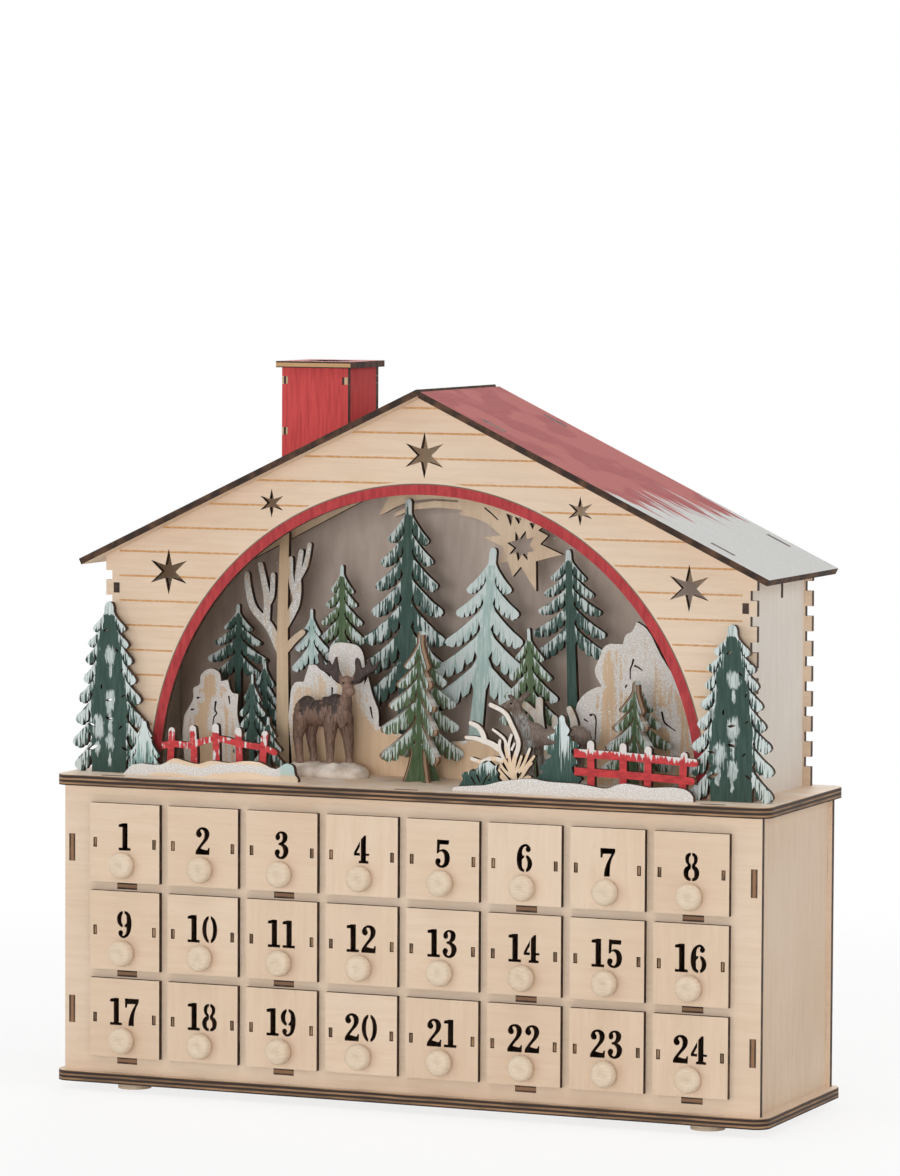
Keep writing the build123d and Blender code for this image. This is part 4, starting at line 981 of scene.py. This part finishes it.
def rockPaint(name, cover, climb, banding):
    paint = Paint(name)
    wood, fibres = timber(paint, "z", rockLook["bare"], rockLook["bareGrain"])
    margin = 1 - paint.step(paint.uv("rim")[0], 0.8, 3.4)  # millimetres in from the outline
    height = paint.shares()[1]
    bands = paint.noise([95.0, 95.0, 14.0], 3.0, 0.6) - 0.5
    drips = paint.noise([620.0, 620.0, 40.0], 2.0) - 0.5
    grit, white = snowGrains(paint, rockLook["snow"], rockLook["glint"], 0.48, 0.66)
    amount = cover + climb * height + bands * banding + drips * 0.9 + margin * 0.5
    snow = paint.step(amount + (grit - 0.5) * 0.6, 0.40, 0.66)
    base = paint.mix(snow * 0.93, wood, white)
    return paint.done(base, 0.75, fibres * 0.2 + snow * (0.5 + grit * 0.8), *deepBump)


def makeRocks():
    shapes = {"left": (leftRock, stageY + 24.6 * mm, rockPaint("rock_left", 0.44, 0.3, 1.7)),
              "centre": (centreRock, rockLayer, rockPaint("rock_centre", -0.28, 2.5, 1.3)),
              "right": (rightRock, rockLayer, rockPaint("rock_right", 0.36, 0.5, 2.4))}
    for kind, (outline, front, finish) in shapes.items():
        cracks = [limbLoop(crack, *rockLook["crack"]) for crack in rockCracks[kind]]
        outline = rounded(sized(outline), rockLook["corner"])
        rock = cutSheet(f"rock_{kind}_cut", [outline], cracks, front, finish, deckTop, grid=1.6)
        dress(rock, "rock_snow", "rocks")
    print("rocks cut")


# Bare tree: a plain trunk with frosted limbs
bareLook = {"bark": (214, 190, 160), "barkGrain": (186, 154, 120), "frost": (196, 194, 190),
            "glint": (232, 232, 230), "trunk": -0.647}
bareLimbs = ((((-646, 0), (-648, 330), (-648, 560), (-641, 840)), 50, 34),
             (((-650, 415), (-695, 501), (-724, 532), (-763, 575), (-781, 640), (-787, 690)), 36, 20),
             (((-712, 520), (-708, 600), (-718, 658), (-734, 725)), 28, 20),
             (((-708, 585), (-690, 618), (-685, 690)), 22, 17),
             (((-645, 510), (-603, 580), (-590, 633), (-589, 697), (-577, 775)), 36, 18),
             (((-589, 680), (-560, 730), (-545, 800)), 22, 16),
             (((-598, 610), (-616, 679), (-617, 750)), 24, 17),
             (((-645, 420), (-602, 466), (-570, 492)), 30, 20))


def barePaint():
    look, paint = bareLook, Paint("bare_tree_paint")
    wood, fibres = timber(paint, "z", look["bark"], look["barkGrain"])
    across, height = paint.shares()
    away = paint.step(abs(across - look["trunk"]), 0.020, 0.034)
    stub = paint.step(across, -0.64, -0.63) * (1 - paint.step(height - across * 0.3, 0.69, 0.70))
    streak = paint.noise([900.0, 900.0, 130.0], 2.0)
    frost = away * (1 - stub * 0.8) * paint.step(streak, 0.25, 0.5)
    grit, white = snowGrains(paint, look["frost"], look["glint"], scale=1800.0)
    return paint.done(paint.mix(frost * 0.9, wood, white), 0.7, fibres * 0.3 + frost * grit, *deepBump)


def makeBareTree():
    dress(limbs("bare_tree_cut", bareLimbs, rockLayer, barePaint()), "birch_ply", "bare_tree")
    print("bare tree cut")


# Fences: red boards under wet snow
fenceLook = {"red": (198, 62, 64), "worn": (166, 46, 50), "snow": (226, 224, 220), "slush": (205, 202, 198)}
leftPosts = (((-930, 0), (-926, 75), (-922, 158)), ((-838, 0), (-836, 80), (-841, 168)),
             ((-750, 0), (-751, 90), (-754, 178)), ((-662, 0), (-663, 80), (-667, 168)),
             ((-576, 0), (-573, 80), (-565, 160)))
leftRail = ((-960, 105), (-909, 112), (-855, 110), (-796, 128), (-745, 137), (-679, 127), (-621, 118),
            (-572, 113), (-528, 98))
leftFence = [*((post, 26.5, 24.5) for post in leftPosts), (leftRail, 23, 21)]
rightPosts = (((655, 0), (654, 80), (652, 178)), ((771, 0), (770, 80), (769, 174)),
              ((857, 0), (858, 80), (859, 167)), ((982, 0), (984, 80), (988, 152)))
rightRails = ((((592, 146), (800, 140), (1025, 130)), 29, 27),
              (((594, 84), (800, 78), (1015, 68)), 26.5, 25))
rightFence = [*((post, 26.5, 25) for post in rightPosts), *rightRails]


def fencePaint():
    look, paint = fenceLook, Paint("fence_paint")
    across, height = paint.shares()
    brush = paint.noise([260.0, 260.0, 700.0], 3.0)
    red = paint.mix(paint.step(brush, 0.35, 0.7), look["red"], look["worn"])
    drips = paint.noise([700.0, 1.0, 60.0], 2.0) - 0.5
    blots = paint.noise(210.0, 2.0) - 0.5
    cap = paint.step(height, 0.148, 0.172) * 0.8
    worn = paint.step(cap + blots * 1.6 + drips * 1.6 + height * 1.5, 0.30, 0.50)
    icing = paint.step(height + across * 0.041 + drips * 0.075 + blots * 0.03, 0.176, 0.182)
    right = paint.step(paint.x, -mm, mm)
    snow = worn * (1 - right) + icing * right
    grit = paint.noise(1700.0, 1.0)
    base = paint.mix(snow * 0.94, red, paint.mix(grit, look["snow"], look["slush"]))
    return paint.done(base, 0.66, brush * 0.2 + snow * (0.6 + grit * 0.5), *deepBump)


def makeFences():
    finish = fencePaint()
    dress(limbs("fence_left_cut", leftFence, leftBankY + ply, finish), "roof_red", "fences")
    dress(limbs("fence_right_cut", rightFence, rightBankY + ply, finish), "roof_red", "fences")
    print("fences cut")


# Snow banks along the ledge
bankLook = {"bare": (234, 214, 190), "bareGrain": (214, 188, 158), "snow": (208, 206, 203),
            "glint": (236, 236, 235), "lump": (180, 200, 198), "lumpFoot": (214, 196, 172)}
leftBank = ((-1100, 0), (-1062, 36), (-952, 40), (-903, 64), (-854, 55), (-810, 48), (-761, 62),
            (-693, 57), (-630, 66), (-572, 63), (-513, 43), (-475, 64), (-448, 56), (-441, 26),
            (-430, 12), (-430, 0))
rightBank = ((155, 0), (160, 10), (204, 18), (279, 25), (335, 40), (387, 48), (452, 54), (498, 47),
             (563, 45), (627, 43), (685, 35), (722, 33), (759, 47), (785, 52), (832, 48), (876, 42),
             (920, 45), (971, 46), (1008, 38), (1028, 20), (1030, 0))


def bankPaint():
    look, paint = bankLook, Paint("bank_paint")
    wood, fibres = timber(paint, "x", look["bare"], look["bareGrain"])
    across, height = paint.shares()
    waves = paint.noise([26.0, 26.0, 60.0], 2.0) - 0.5
    left = 1 - paint.step(paint.x, -mm, mm)
    dip = 0.012 * paint.step(across, -0.80, -0.74)
    stripe = paint.band(height + waves * 0.05 - dip, 0.012, 0.034, 0.006)
    slab = 1 - paint.step(across, -1.02, -0.97)
    snow = paint.larger(paint.larger(stripe, slab), 1 - left)
    grit, white = snowGrains(paint, look["snow"], look["glint"])
    base = paint.mix(snow * 0.95, wood, white)
    lump = paint.step(across, -0.505, -0.49)  # the painted end of the left bank
    mint = paint.mix(paint.step(height, 0.018, 0.03), look["lumpFoot"], look["lump"])
    base = paint.mix(left * lump, base, mint)
    return paint.done(base, 0.75, fibres * 0.2 + snow * grit, *deepBump)


def makeBanks():
    finish = bankPaint()
    for name, points, front in (("left", leftBank, leftBankY), ("right", rightBank, rightBankY)):
        bank = cutSheet(f"bank_{name}_cut", [rounded(sized(points), 70.0)], [], front, finish, deckTop)
        dress(bank, "rock_snow", "snow_banks")
    print("banks cut")


# Shrubs and the two small trees on the ledge
shrubLook = {"tan": ((232, 208, 180), (210, 182, 150)), "dusted": ((222, 204, 182), (200, 178, 152)),
             "dust": ((210, 203, 195), (236, 232, 226)), "snow": ((224, 230, 229), (188, 204, 202)),
             "evergreen": (44, 72, 63), "mini": (52, 80, 72), "mint": (150, 182, 176), "slit": (6.5, 4),
             "root": 0.376}
frontBush = ((((377, 0), (376, 33), (374, 58), (368, 87)), 26, 18),
             (((369, 57), (351, 92), (332, 123), (320, 152), (322, 176)), 14.2, 10.5),
             (((322, 146), (293, 163), (262, 173), (230, 181), (198, 182)), 22.1, 11.7),
             (((266, 171), (257, 200), (240, 221), (214, 232)), 20.3, 14.2),
             (((351, 118), (345, 147), (342, 174), (328, 192), (296, 213)), 12.3, 8.6),
             (((363, 87), (356, 124), (354, 162), (364, 197)), 12.3, 9.8),
             (((370, 78), (376, 116), (387, 149), (389, 176), (378, 205), (365, 230), (346, 265),
               (321, 283), (287, 297)), 16.5, 15), (((376, 61), (390, 94), (401, 126)), 11.8, 8.6),
             (((390, 70), (409, 100), (422, 130), (431, 153)), 11.2, 8.6),
             (((401, 71), (420, 95), (440, 119), (447, 128)), 10.8, 8.6),
             (((382, 30), (407, 64), (425, 92), (438, 104)), 11.2, 8.6),
             (((388, 25), (417, 54), (433, 57)), 10.8, 8.6), (((365, 54), (338, 77), (326, 94)), 12, 8.6),
             (((366, 26), (338, 56), (320, 76)), 11.5, 8.6), (((366, 22), (338, 41), (327, 56)), 11, 8.6),
             (((335, 106), (309, 114), (284, 113), (253, 102), (219, 110)), 16, 12.3),
             (((364, 145), (375, 169)), 9, 7.4))
rearBush = ((((450, 0), (400, 60), (357, 130), (343, 190), (324, 236), (286, 270)), 36, 26),
            (((345, 185), (338, 239), (338, 288)), 30, 26),
            (((447, 10), (462, 100), (467, 200), (461, 235), (449, 263)), 34, 22),
            (((420, 50), (402, 130), (397, 205), (395, 229)), 28, 22))
evergreen = ((171, 0), (171, 10), (177, 25), (187, 39), (182, 54), (189, 63), (202, 63), (218, 74),
             (226, 67), (234, 77), (241, 74), (243, 87), (256, 97), (269, 105), (279, 106), (291, 98),
             (302, 90), (313, 94), (308, 78), (316, 64), (313, 49), (320, 38), (318, 0))
evergreenSlits = (((217, 49), (226, 34), (234, 25)), ((237, 56), (244, 44), (248, 32)),
                  ((284, 58), (269, 44), (262, 22)), ((280, 39), (286, 42)))
miniTree = ((449, 0), (449, 34), (451, 55), (462, 65), (477, 78), (466, 80), (454, 85), (459, 93),
            (476, 103), (480, 115), (498, 125), (501, 134), (488, 136), (482, 148), (472, 151),
            (473, 164), (495, 166), (516, 173), (522, 180), (511, 182), (495, 186), (486, 194),
            (497, 202), (511, 208), (518, 217), (508, 224), (511, 230), (524, 238), (527, 258),
            (537, 271), (547, 265), (552, 244), (559, 233), (569, 220), (563, 210), (558, 201),
            (573, 197), (574, 184), (590, 181), (602, 170), (596, 158), (583, 161), (572, 148),
            (587, 126), (602, 109), (588, 104), (575, 94), (581, 76), (592, 65), (609, 63), (612, 53),
            (600, 42), (603, 0))


def twigPaint(name, pale, grain, whiteness, reach=0.0):
    paint = Paint(name)
    wood, fibres = timber(paint, "z", pale, grain)
    across, height = paint.shares()
    away = ((across - shrubLook["root"]) ** 2 + height ** 2) ** 0.5
    amount = paint.noise([420.0, 420.0, 160.0], 2.0) + paint.step(away, 0.08, 0.19) * reach
    dust = paint.step(amount, 0.62 - whiteness, 0.80 - whiteness)
    grit = paint.noise(1700.0, 1.0)
    base = paint.mix(dust * 0.85, wood, paint.mix(grit, *shrubLook["dust"]))
    return paint.done(base, 0.7, fibres * 0.3 + dust * grit, *deepBump)


def drippedPaint(name, top, body, line):  # green below, thick snow that runs down from the top
    paint = Paint(name)
    height = (paint.z - deckTop) / (top * archRadius)
    drips = paint.noise([900.0, 900.0, 26.0], 2.0, 0.6) - 0.5
    streak = paint.noise([1500.0, 1500.0, 120.0], 2.0)
    snow = paint.step(height + drips * 2.2, line, line + 0.10)
    tone = paint.mix(paint.step(streak, 0.4, 0.65), body, spruceLook["dark"][1])
    base = paint.mix(snow * 0.95, tone, paint.mix(streak, *shrubLook["snow"]))
    return paint.done(base, 0.7, streak * 0.3 + snow, *deepBump)


def makeShrubs():
    look, ledge = shrubLook, rightBankY + ply
    tan = twigPaint("twig_paint", *look["tan"], 0.02, 0.34)
    dusted = twigPaint("twig_dusted_paint", *look["dusted"], 0.26)
    slits = [limbLoop(slit, *look["slit"]) for slit in evergreenSlits]
    shrubs = [limbs("front_bush_cut", frontBush, ledge, tan),
              limbs("rear_bush_cut", rearBush, stageY + 28.0 * mm, dusted),
              cutSheet("evergreen_cut", [rounded(sized(evergreen), 60.0)], slits, ledge,
                       drippedPaint("evergreen_paint", 0.115, look["evergreen"], 0.66), deckTop),
              cutSheet("mini_tree_cut", [rounded(sized(miniTree), 55.0)], [], leftBankY + ply,
                       drippedPaint("mini_tree_paint", 0.27, look["mini"], 0.62), deckTop),
              makeSpruce("mint_tree_cut", (-1.029, 0.188, 0.03, 0.064, 0.040, 4), leftBankY + ply, 52,
                         drippedPaint("mint_tree_paint", 0.188, look["mint"], 0.40), body=0.48, teeth=2)]
    for shrub in shrubs:
        dress(shrub, "frost_green", "shrubs")
    print("shrubs cut")


# Comet board: hangs in the slits of the side walls
cometLook = {"knee": 128.0 * mm, "outer": 160.0 * mm, "foot": 89.8 * mm, "slope": 0.479, "top": 181.2 * mm,
             "band": 155.3 * mm, "pale": (224, 202, 176), "grain": (200, 172, 142), "stain": (190, 160, 130)}
cometSlit = ((90, 943), (115, 925), (140, 903))
cometTail = ((300, 1000), (342, 910), (291, 869), (328, 852), (299, 822), (381, 788), (283, 762),
             (285, 658), (227, 742), (197, 706), (179, 757), (144, 749), (161, 809), (86, 841),
             (151, 849), (101, 890), (45, 909), (-5, 918), (10, 933), (-91, 940), (-162, 932),
             (-213, 917), (-250, 901), (-244, 918), (-172, 951), (-97, 963), (-10, 961), (-10, 967),
             (-98, 971), (-178, 962), (-239, 940), (-290, 913), (-307, 908), (-277, 965))
cometEye = ((206, 865), (222, 838), (244, 868), (250, 838), (275, 845), (260, 818), (279, 798),
            (252, 792), (252, 764), (232, 786), (216, 760), (210, 790), (183, 784), (202, 806),
            (175, 823), (206, 832))
cometGaps = (((171, 926), (189, 880), (196, 917)), ((203, 914), (219, 888), (228, 909)),
             ((258, 895), (271, 872), (280, 895)))


def cometPaint():
    paint = Paint("comet_ply")
    wood, fibres = timber(paint, "z", cometLook["pale"], cometLook["grain"])
    stain = paint.step(paint.noise(60.0, 2.0), 0.45, 0.7)
    return paint.done(paint.mix(stain * 0.3, wood, cometLook["stain"]), 0.64, fibres, 0.0001, 0.35)


def makeComet():
    look, finish = cometLook, cometPaint()
    knee, outer, foot, top, band = [look[key] for key in ("knee", "outer", "foot", "top", "band")]
    ear = top - look["slope"] * outer
    board = [(knee, foot), (outer, foot), (outer, ear), (0.0, top), (-outer, ear), (-outer, foot),
             (-knee, foot), (0.0, band)]
    tail = sized(cometTail) + [(share * archRadius, band + 2 * mm) for share in (-0.22, 0.10)]
    holes = [sized(cometEye)] + [sized(gap) for gap in cometGaps] + [limbLoop(cometSlit, 6, 4)]
    comet = cutSheet("comet_cut", [board, tail], holes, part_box("comet_board")[0].y, finish, deckTop)
    dress(comet, "birch_ply", "comet_board")
    print("comet cut")


# Moose and doe: cast figures, roughed out of lumps that are remeshed into one skin
figureLook = {
    "voxel": 0.55 * mm, "snow": ((226, 214, 202), (198, 182, 166)), "eye": ((26, 21, 19), (40, 32, 28)),
    "moose": {"place": (-0.424, 18.0), "crown": 32.0, "foot": 6.0, "flank": 6.2, "horns": 44.6,
              "muzzle": 0.45,
              "tones": ((112, 87, 75), (47, 38, 35), (158, 129, 112), (158, 129, 112)),
              "eyes": ((10.2, -5.5, 45.0), (13.4, -2.9, 45.0))},
    "doe": {"place": (0.50, 6.4), "crown": 40.6, "foot": 2.0, "chill": (-14.0, -8.0),
            "tones": ((126, 110, 100), (88, 75, 67), (152, 140, 130), (166, 174, 174)),
            "eyes": ((-25.6, -4.6, 39.6), (-26.4, 1.0, 39.6))}}

# Lumps as middle, radii and turn, and chains of x, y, z and radius, in millimetres
mooseParts = (
    ((-4.0, 0, 29.6), (12.0, 5.2, 6.2)), ((-11.0, 0, 31.0), (5.0, 5.2, 7.0)),
    ((4.0, 0, 30.6), (6.4, 5.4, 7.4)), ((3.6, 0, 34.6), (4.8, 3.8, 4.8)),
    ((7.2, 0, 30.0, 4.8), (8.6, 0.0, 34.6, 3.5), (9.4, -0.2, 39.0, 2.4), (9.8, -0.8, 42.5, 2.3)),
    ((10.2, -2.2, 45.3), (3.2, 3.2, 3.0)), ((12.2, -4.6, 43.2), (2.7, 2.7, 2.6)),
    ((13.9, -6.6, 41.3), (2.6, 2.6, 2.4)),
    ((7.6, -0.6, 44.8, 1.3), (4.8, 0.2, 45.8, 1.5), (2.8, 0.6, 46.8, 0.8)),
    ((12.6, -0.6, 44.8, 1.3), (15.8, 0.2, 46.0, 1.6), (18.0, 0.6, 47.2, 0.8)),
    ((2.6, -3.0, 27.0, 4.0), (2.2, -3.2, 18.0, 2.6), (2.4, -3.2, 9.0, 1.9), (2.6, -3.6, 5.4, 2.3)),
    ((7.4, 2.8, 27.0, 4.2), (9.0, 3.0, 18.0, 2.8), (9.6, 3.0, 9.0, 2.0), (9.8, 2.6, 5.4, 2.4)),
    ((-12.4, -3.0, 28.0, 4.4), (-14.4, -3.2, 18.5, 2.5), (-13.4, -3.2, 9.0, 1.9), (-13.2, -3.6, 5.4, 2.4)),
    ((-9.8, 3.0, 27.0, 4.2), (-10.4, 3.0, 18.5, 2.5), (-8.8, 3.0, 9.0, 1.9), (-8.6, 2.6, 5.4, 2.3)),
    ((-15.8, 0, 33.0, 1.4), (-16.6, 0, 29.6, 0.9)))
mooseRuff = ((10.6, -3.0, 31.0), (11.4, -1.6, 30.0), (9.4, -4.0, 29.0), (8.0, -4.6, 28.0))
mooseMound = (
    ((-9.0, 0, 1.2), (10.0, 9.6, 5.4)), ((1.0, 0, 1.2), (11.0, 10.4, 5.6)),
    ((10.4, 0, 1.2), (10.4, 9.6, 5.4)), ((-14.0, -3.4, 4.4), (4.4, 3.6, 2.6)),
    ((3.4, -3.4, 4.6), (4.6, 3.6, 2.6)), ((9.0, 2.8, 4.6), (5.0, 3.8, 2.6)),
    ((-8.6, 2.8, 4.6), (4.4, 3.6, 2.6)), ((14.0, -2.0, 3.0), (6.0, 6.0, 2.8)))
doeParts = (
    ((-4.0, 0, 23.2), (13.0, 4.8, 5.6)), ((6.0, 0, 24.6), (5.8, 5.0, 5.8)),
    ((-15.5, 0, 24.5), (5.6, 4.6, 6.4)),
    ((-18.0, 0, 25.5, 5.0), (-21.2, -0.6, 30.0, 3.9), (-23.6, -1.2, 35.0, 2.9), (-24.4, -1.6, 38.0, 2.7)),
    ((-24.6, -1.8, 38.9, 3.1), (-27.6, -3.0, 38.2, 2.4), (-29.7, -3.8, 37.7, 1.8)),
    ((-20.4, 0.0, 43.0), (3.4, 0.9, 1.7), (0.0, -40.0, 0.0)),
    ((-22.8, -0.6, 40.6, 1.2), (-21.6, -0.2, 42.0, 1.1)),
    ((-26.4, 0.8, 41.0, 0.9), (-28.2, 1.4, 42.2, 1.2), (-29.6, 1.8, 42.8, 0.6)),
    ((-17.0, -2.2, 21.0, 3.0), (-16.6, -2.4, 12.0, 1.5), (-15.4, -2.4, 4.5, 1.3)),
    ((-15.0, 2.2, 21.0, 3.0), (-13.6, 2.4, 12.0, 1.5), (-13.0, 2.4, 4.5, 1.3)),
    ((6.0, -2.2, 22.0, 3.4), (8.6, -2.4, 13.5, 1.6), (7.4, -2.4, 4.5, 1.3)),
    ((7.6, 2.2, 22.0, 3.4), (6.0, 2.4, 13.5, 1.6), (5.0, 2.4, 4.5, 1.3)),
    ((10.8, 0, 27.0, 1.4), (12.2, 0, 24.0, 0.9)))
doeMound = (((-4.0, 0, 1.8), (15.5, 7.0, 3.0)), ((-14.0, 0, 2.6), (5.0, 5.0, 2.4)),
            ((6.5, 0, 2.6), (5.0, 5.0, 2.4)))
antlerShapes = (
    (-0.6, ((11.6, 45.6), (13.2, 48.6), (14.2, 51.0), (13.8, 55.0), (14.7, 57.2), (16.4, 55.6), (17.4, 50.8),
            (19.4, 53.6), (21.4, 57.6), (22.8, 52.4), (24.6, 54.4), (27.2, 56.4), (25.6, 52.4), (22.4, 49.8),
            (19.2, 48.2), (16.6, 46.2), (13.4, 44.4))),
    (-1.4, ((8.4, 45.6), (7.2, 48.6), (5.8, 51.4), (5.4, 55.0), (4.8, 57.8), (3.6, 55.4), (2.6, 51.6),
            (1.0, 55.4), (-1.0, 51.4), (-2.6, 56.6), (-4.2, 59.2), (-5.0, 57.0), (-4.2, 54.0), (-5.6, 53.0),
            (-4.8, 51.6), (-1.2, 49.4), (1.4, 48.4), (3.4, 46.0), (6.6, 44.4))))  # depth and outline


def lump(middle, radii, turn=(0.0, 0.0, 0.0)):
    clear()
    bpy.ops.mesh.primitive_ico_sphere_add(subdivisions=3, radius=mm)
    piece = bpy.context.object
    piece.scale = radii
    piece.rotation_euler = [math.radians(angle) for angle in turn]
    piece.location = [part * mm for part in middle]
    bpy.ops.object.transform_apply(location=True, rotation=True, scale=True)
    return piece


def chain(*beads):  # lumps strung along a line: x, y, z and radius of each bend
    pieces = []
    for (*start, r0), (*end, r1) in zip(beads, beads[1:]):
        count = max(2, int(math.dist(start, end) / (0.45 * (r0 + r1) / 2)))
        for k in range(count + 1):
            t = k / count
            pieces.append(lump([a + (b - a) * t for a, b in zip(start, end)], (r0 + (r1 - r0) * t,) * 3))
    return pieces


def roughed(parts):
    pieces = []
    for part in parts:
        pieces += chain(*part) if len(part[0]) == 4 else [lump(*part)]
    return pieces


def skinned(name, pieces, place, material, smooth=4):
    figure = joined(name, pieces)
    modified(figure, "REMESH", mode="VOXEL", voxel_size=figureLook["voxel"])
    modified(figure, "SMOOTH", factor=0.5, iterations=smooth)
    pick(figure)
    bpy.ops.object.shade_smooth()
    figure.data.transform(Matrix.Translation(place))
    figure.data.materials.clear()
    figure.data.materials.append(material)
    return figure


def antlers():
    pieces = []
    for depth, points in antlerShapes:
        outline = rounded([(x * mm, z * mm) for x, z in points])
        pieces.append(cutSheet("antler", [outline], [], (depth - 0.9) * mm, thickness=1.8 * mm))
    return pieces


def tufts():  # hair of the chest, the back and the mane
    pieces, rng = [], random.Random(7)
    for x, y, z in mooseRuff:
        pieces += chain((x, y, z, 1.6), (x + 0.6, y - 0.6, z - 4.4, 0.7))
    for k in range(26):
        along = rng.uniform(-15.0, 7.5)
        pieces += chain((along, rng.uniform(-2.6, 2.6), 35.0 + (along > -2.0) * 1.6, 1.3),
                        (along - 1.6, rng.uniform(-4.4, -2.0), 31.5, 0.8))
    return pieces


def hidePaint(name, place, look):
    paint = Paint(name)
    body, dark, pale, frosty = look["tones"]
    across, height = (paint.x - place.x) / mm, (paint.z - place.z) / mm
    tuft = paint.noise([520.0, 520.0, 150.0], 3.0, 0.6) - 0.5
    fine = paint.noise(1400.0, 2.0)
    hair = paint.noise([1500.0, 1500.0, 210.0], 2.0)
    shade = paint.step(height + tuft * 30.0, look["crown"] - 1.5, look["crown"] + 1.5)
    if "flank" in look:
        shade = shade * (1 - paint.step(across + tuft * 4.0, look["flank"], look["flank"] + 1.5))
    if "horns" in look:
        horns = paint.step(height, look["horns"] - 0.6, look["horns"] + 0.6)
        shade = paint.larger(shade, horns * paint.step(abs(across - 10.0), 3.0, 3.8))
    lower = 1 - paint.step(height + tuft * 10.0, look["foot"], look["foot"] + 9.0)
    base = paint.mix(lower * 0.5, body, pale)
    base = paint.mix(paint.step(hair, 0.50, 0.62) * 0.30, base, pale)
    base = paint.mix((1 - paint.step(hair, 0.36, 0.46)) * 0.45, base, dark)
    base = paint.mix(shade * 0.94, base, dark)
    if "muzzle" in look:
        face = paint.band(across, 6.8, 17.0, 0.4) * paint.band(height, 38.6, 48.0, 0.8)
        base = paint.mix(face * (1 - shade) * look["muzzle"], base, pale)
    if "chill" in look:
        cold = paint.band(across + height * 0.35, *look["chill"], 2.0) * (1 - paint.step(height, 33.0, 36.0))
        base = paint.mix(cold * paint.step(hair + tuft * 0.4, 0.38, 0.58) * 0.75, base, frosty)
    base = paint.mix(paint.step(fine, 0.50, 0.72) * 0.22, base, pale)
    return paint.done(base, 0.55, tuft * 0.8 + hair * 0.4 + fine * 0.2, 0.0007, 0.7)


def eyePaint():
    paint = Paint("eye_gloss")
    glint = paint.noise(900.0, 1.0)
    return paint.done(paint.mix(glint, *figureLook["eye"]), 0.25, glint, 0.00005, 0.2)


def eyes(name, spots, place, gloss):
    pair = joined(name, [lump(spot, (0.72, 0.58, 0.62)) for spot in spots])
    pick(pair)
    bpy.ops.object.shade_smooth()
    pair.data.transform(Matrix.Translation(place))
    pair.data.materials.append(gloss)
    return pair


def plinthPaint():
    paint = Paint("plinth_snow")
    drift = paint.noise(160.0, 3.0)
    base = paint.mix(paint.step(drift, 0.35, 0.7), *figureLook["snow"])
    return paint.done(base, 0.6, drift, 0.0006, 0.5)


def flatFoot(piece):  # trimmed level with the deck
    pick(piece)
    bpy.ops.object.mode_set(mode="EDIT")
    bpy.ops.mesh.select_all(action="SELECT")
    bpy.ops.mesh.bisect(plane_co=(0.0, 0.0, deckTop), plane_no=(0.0, 0.0, 1.0), clear_inner=True,
                        use_fill=True)
    bpy.ops.object.mode_set(mode="OBJECT")
    tidyMesh(piece)
    return piece


def makeFigures():
    snow, gloss = plinthPaint(), eyePaint()
    bodies = {"moose": (lambda: antlers() + roughed(mooseParts) + tufts(), mooseMound),
              "doe": (lambda: roughed(doeParts), doeMound)}
    places = {}
    for kind, (parts, mound) in bodies.items():
        look, slot = figureLook[kind], kind + "_brown"
        share, setback = look["place"]
        place = places[kind] = Vector((share * archRadius, stageY + setback * mm, deckTop))
        body = skinned(kind + "_cast", parts(), place, hidePaint(kind + "_hide", place, look), 3)
        dress(body, slot, kind)
        dress(flatFoot(skinned(kind + "_plinth", roughed(mound), place, snow)), slot, kind)
    for kind, place in places.items():
        dress(eyes(kind + "_eyes", figureLook[kind]["eyes"], place, gloss), kind + "_brown")
    print("figures cast")


makeRocks()
makeBareTree()
makeFences()
makeBanks()
makeShrubs()
makeComet()
makeFigures()


# Studio
studioLook = {"world": 0.28, "clear": (0.30, 0.85), "aim": (0.0, 0.0, 0.17),
              "lamps": (("key", (-1.2, -2.7, 0.42), 1.5, 16.0), ("front", (0.5, -2.9, 0.34), 1.0, 27.5),
                        ("side", (2.5, -0.2, 1.2), 1.4, 16.0), ("overhead", (0.2, -0.6, 2.3), 1.8, 19.0),
                        ("rear", (-0.7, 2.7, 0.8), 1.6, 26.0), ("left", (-2.6, 0.2, 1.0), 1.4, 12.0))}


def makeStudio():
    air = Paint("studio", world=True)
    bpy.context.scene.world = air.material
    air.feed(air.shader.inputs["Color"], (1.0, 1.0, 1.0, 1.0))
    air.feed(air.shader.inputs["Strength"], studioLook["world"] + (1 - studioLook["world"]) * air.seen())
    for name, place, size, power in studioLook["lamps"]:
        lamp = bpy.data.lights.new(name, "AREA")
        lamp.size, lamp.energy = size, power
        holder = bpy.data.objects.new(name, lamp)
        bpy.context.scene.collection.objects.link(holder)
        holder.location = place
        aim = Vector(studioLook["aim"]) - Vector(place)
        holder.rotation_euler = aim.to_track_quat("-Z", "Y").to_euler()
    clear()
    bpy.ops.mesh.primitive_plane_add(size=8, location=(0.0, 0.0, 0.0))
    floor = bpy.context.object
    floor.name = "floor"
    bpy.ops.object.transform_apply(location=True, rotation=True, scale=True)
    paint = Paint("floor_paper")
    paper = paint.mix(paint.noise(3.0, 1.0), [0.90, 0.90, 0.90, 1.0], [0.92, 0.92, 0.92, 1.0])
    paint.done(paper, 0.9)
    glow = paint.node("Emission", None, {"Color": (1.0, 1.0, 1.0, 1.0), "Strength": 1.0})
    away = paint.step((paint.x * paint.x + paint.y * paint.y) ** 0.5, *studioLook["clear"])
    blend = paint.node("MixShader", None, {0: paint.seen() * (0.80 + 0.20 * away),
                                           1: Wire(paint, paint.shader.outputs[0]), 2: glow})
    paint.tree.links.new(blend.socket, paint.tree.nodes["Material Output"].inputs["Surface"])
    floor.data.materials.append(paint.material)
    print("studio set")


makeStudio()
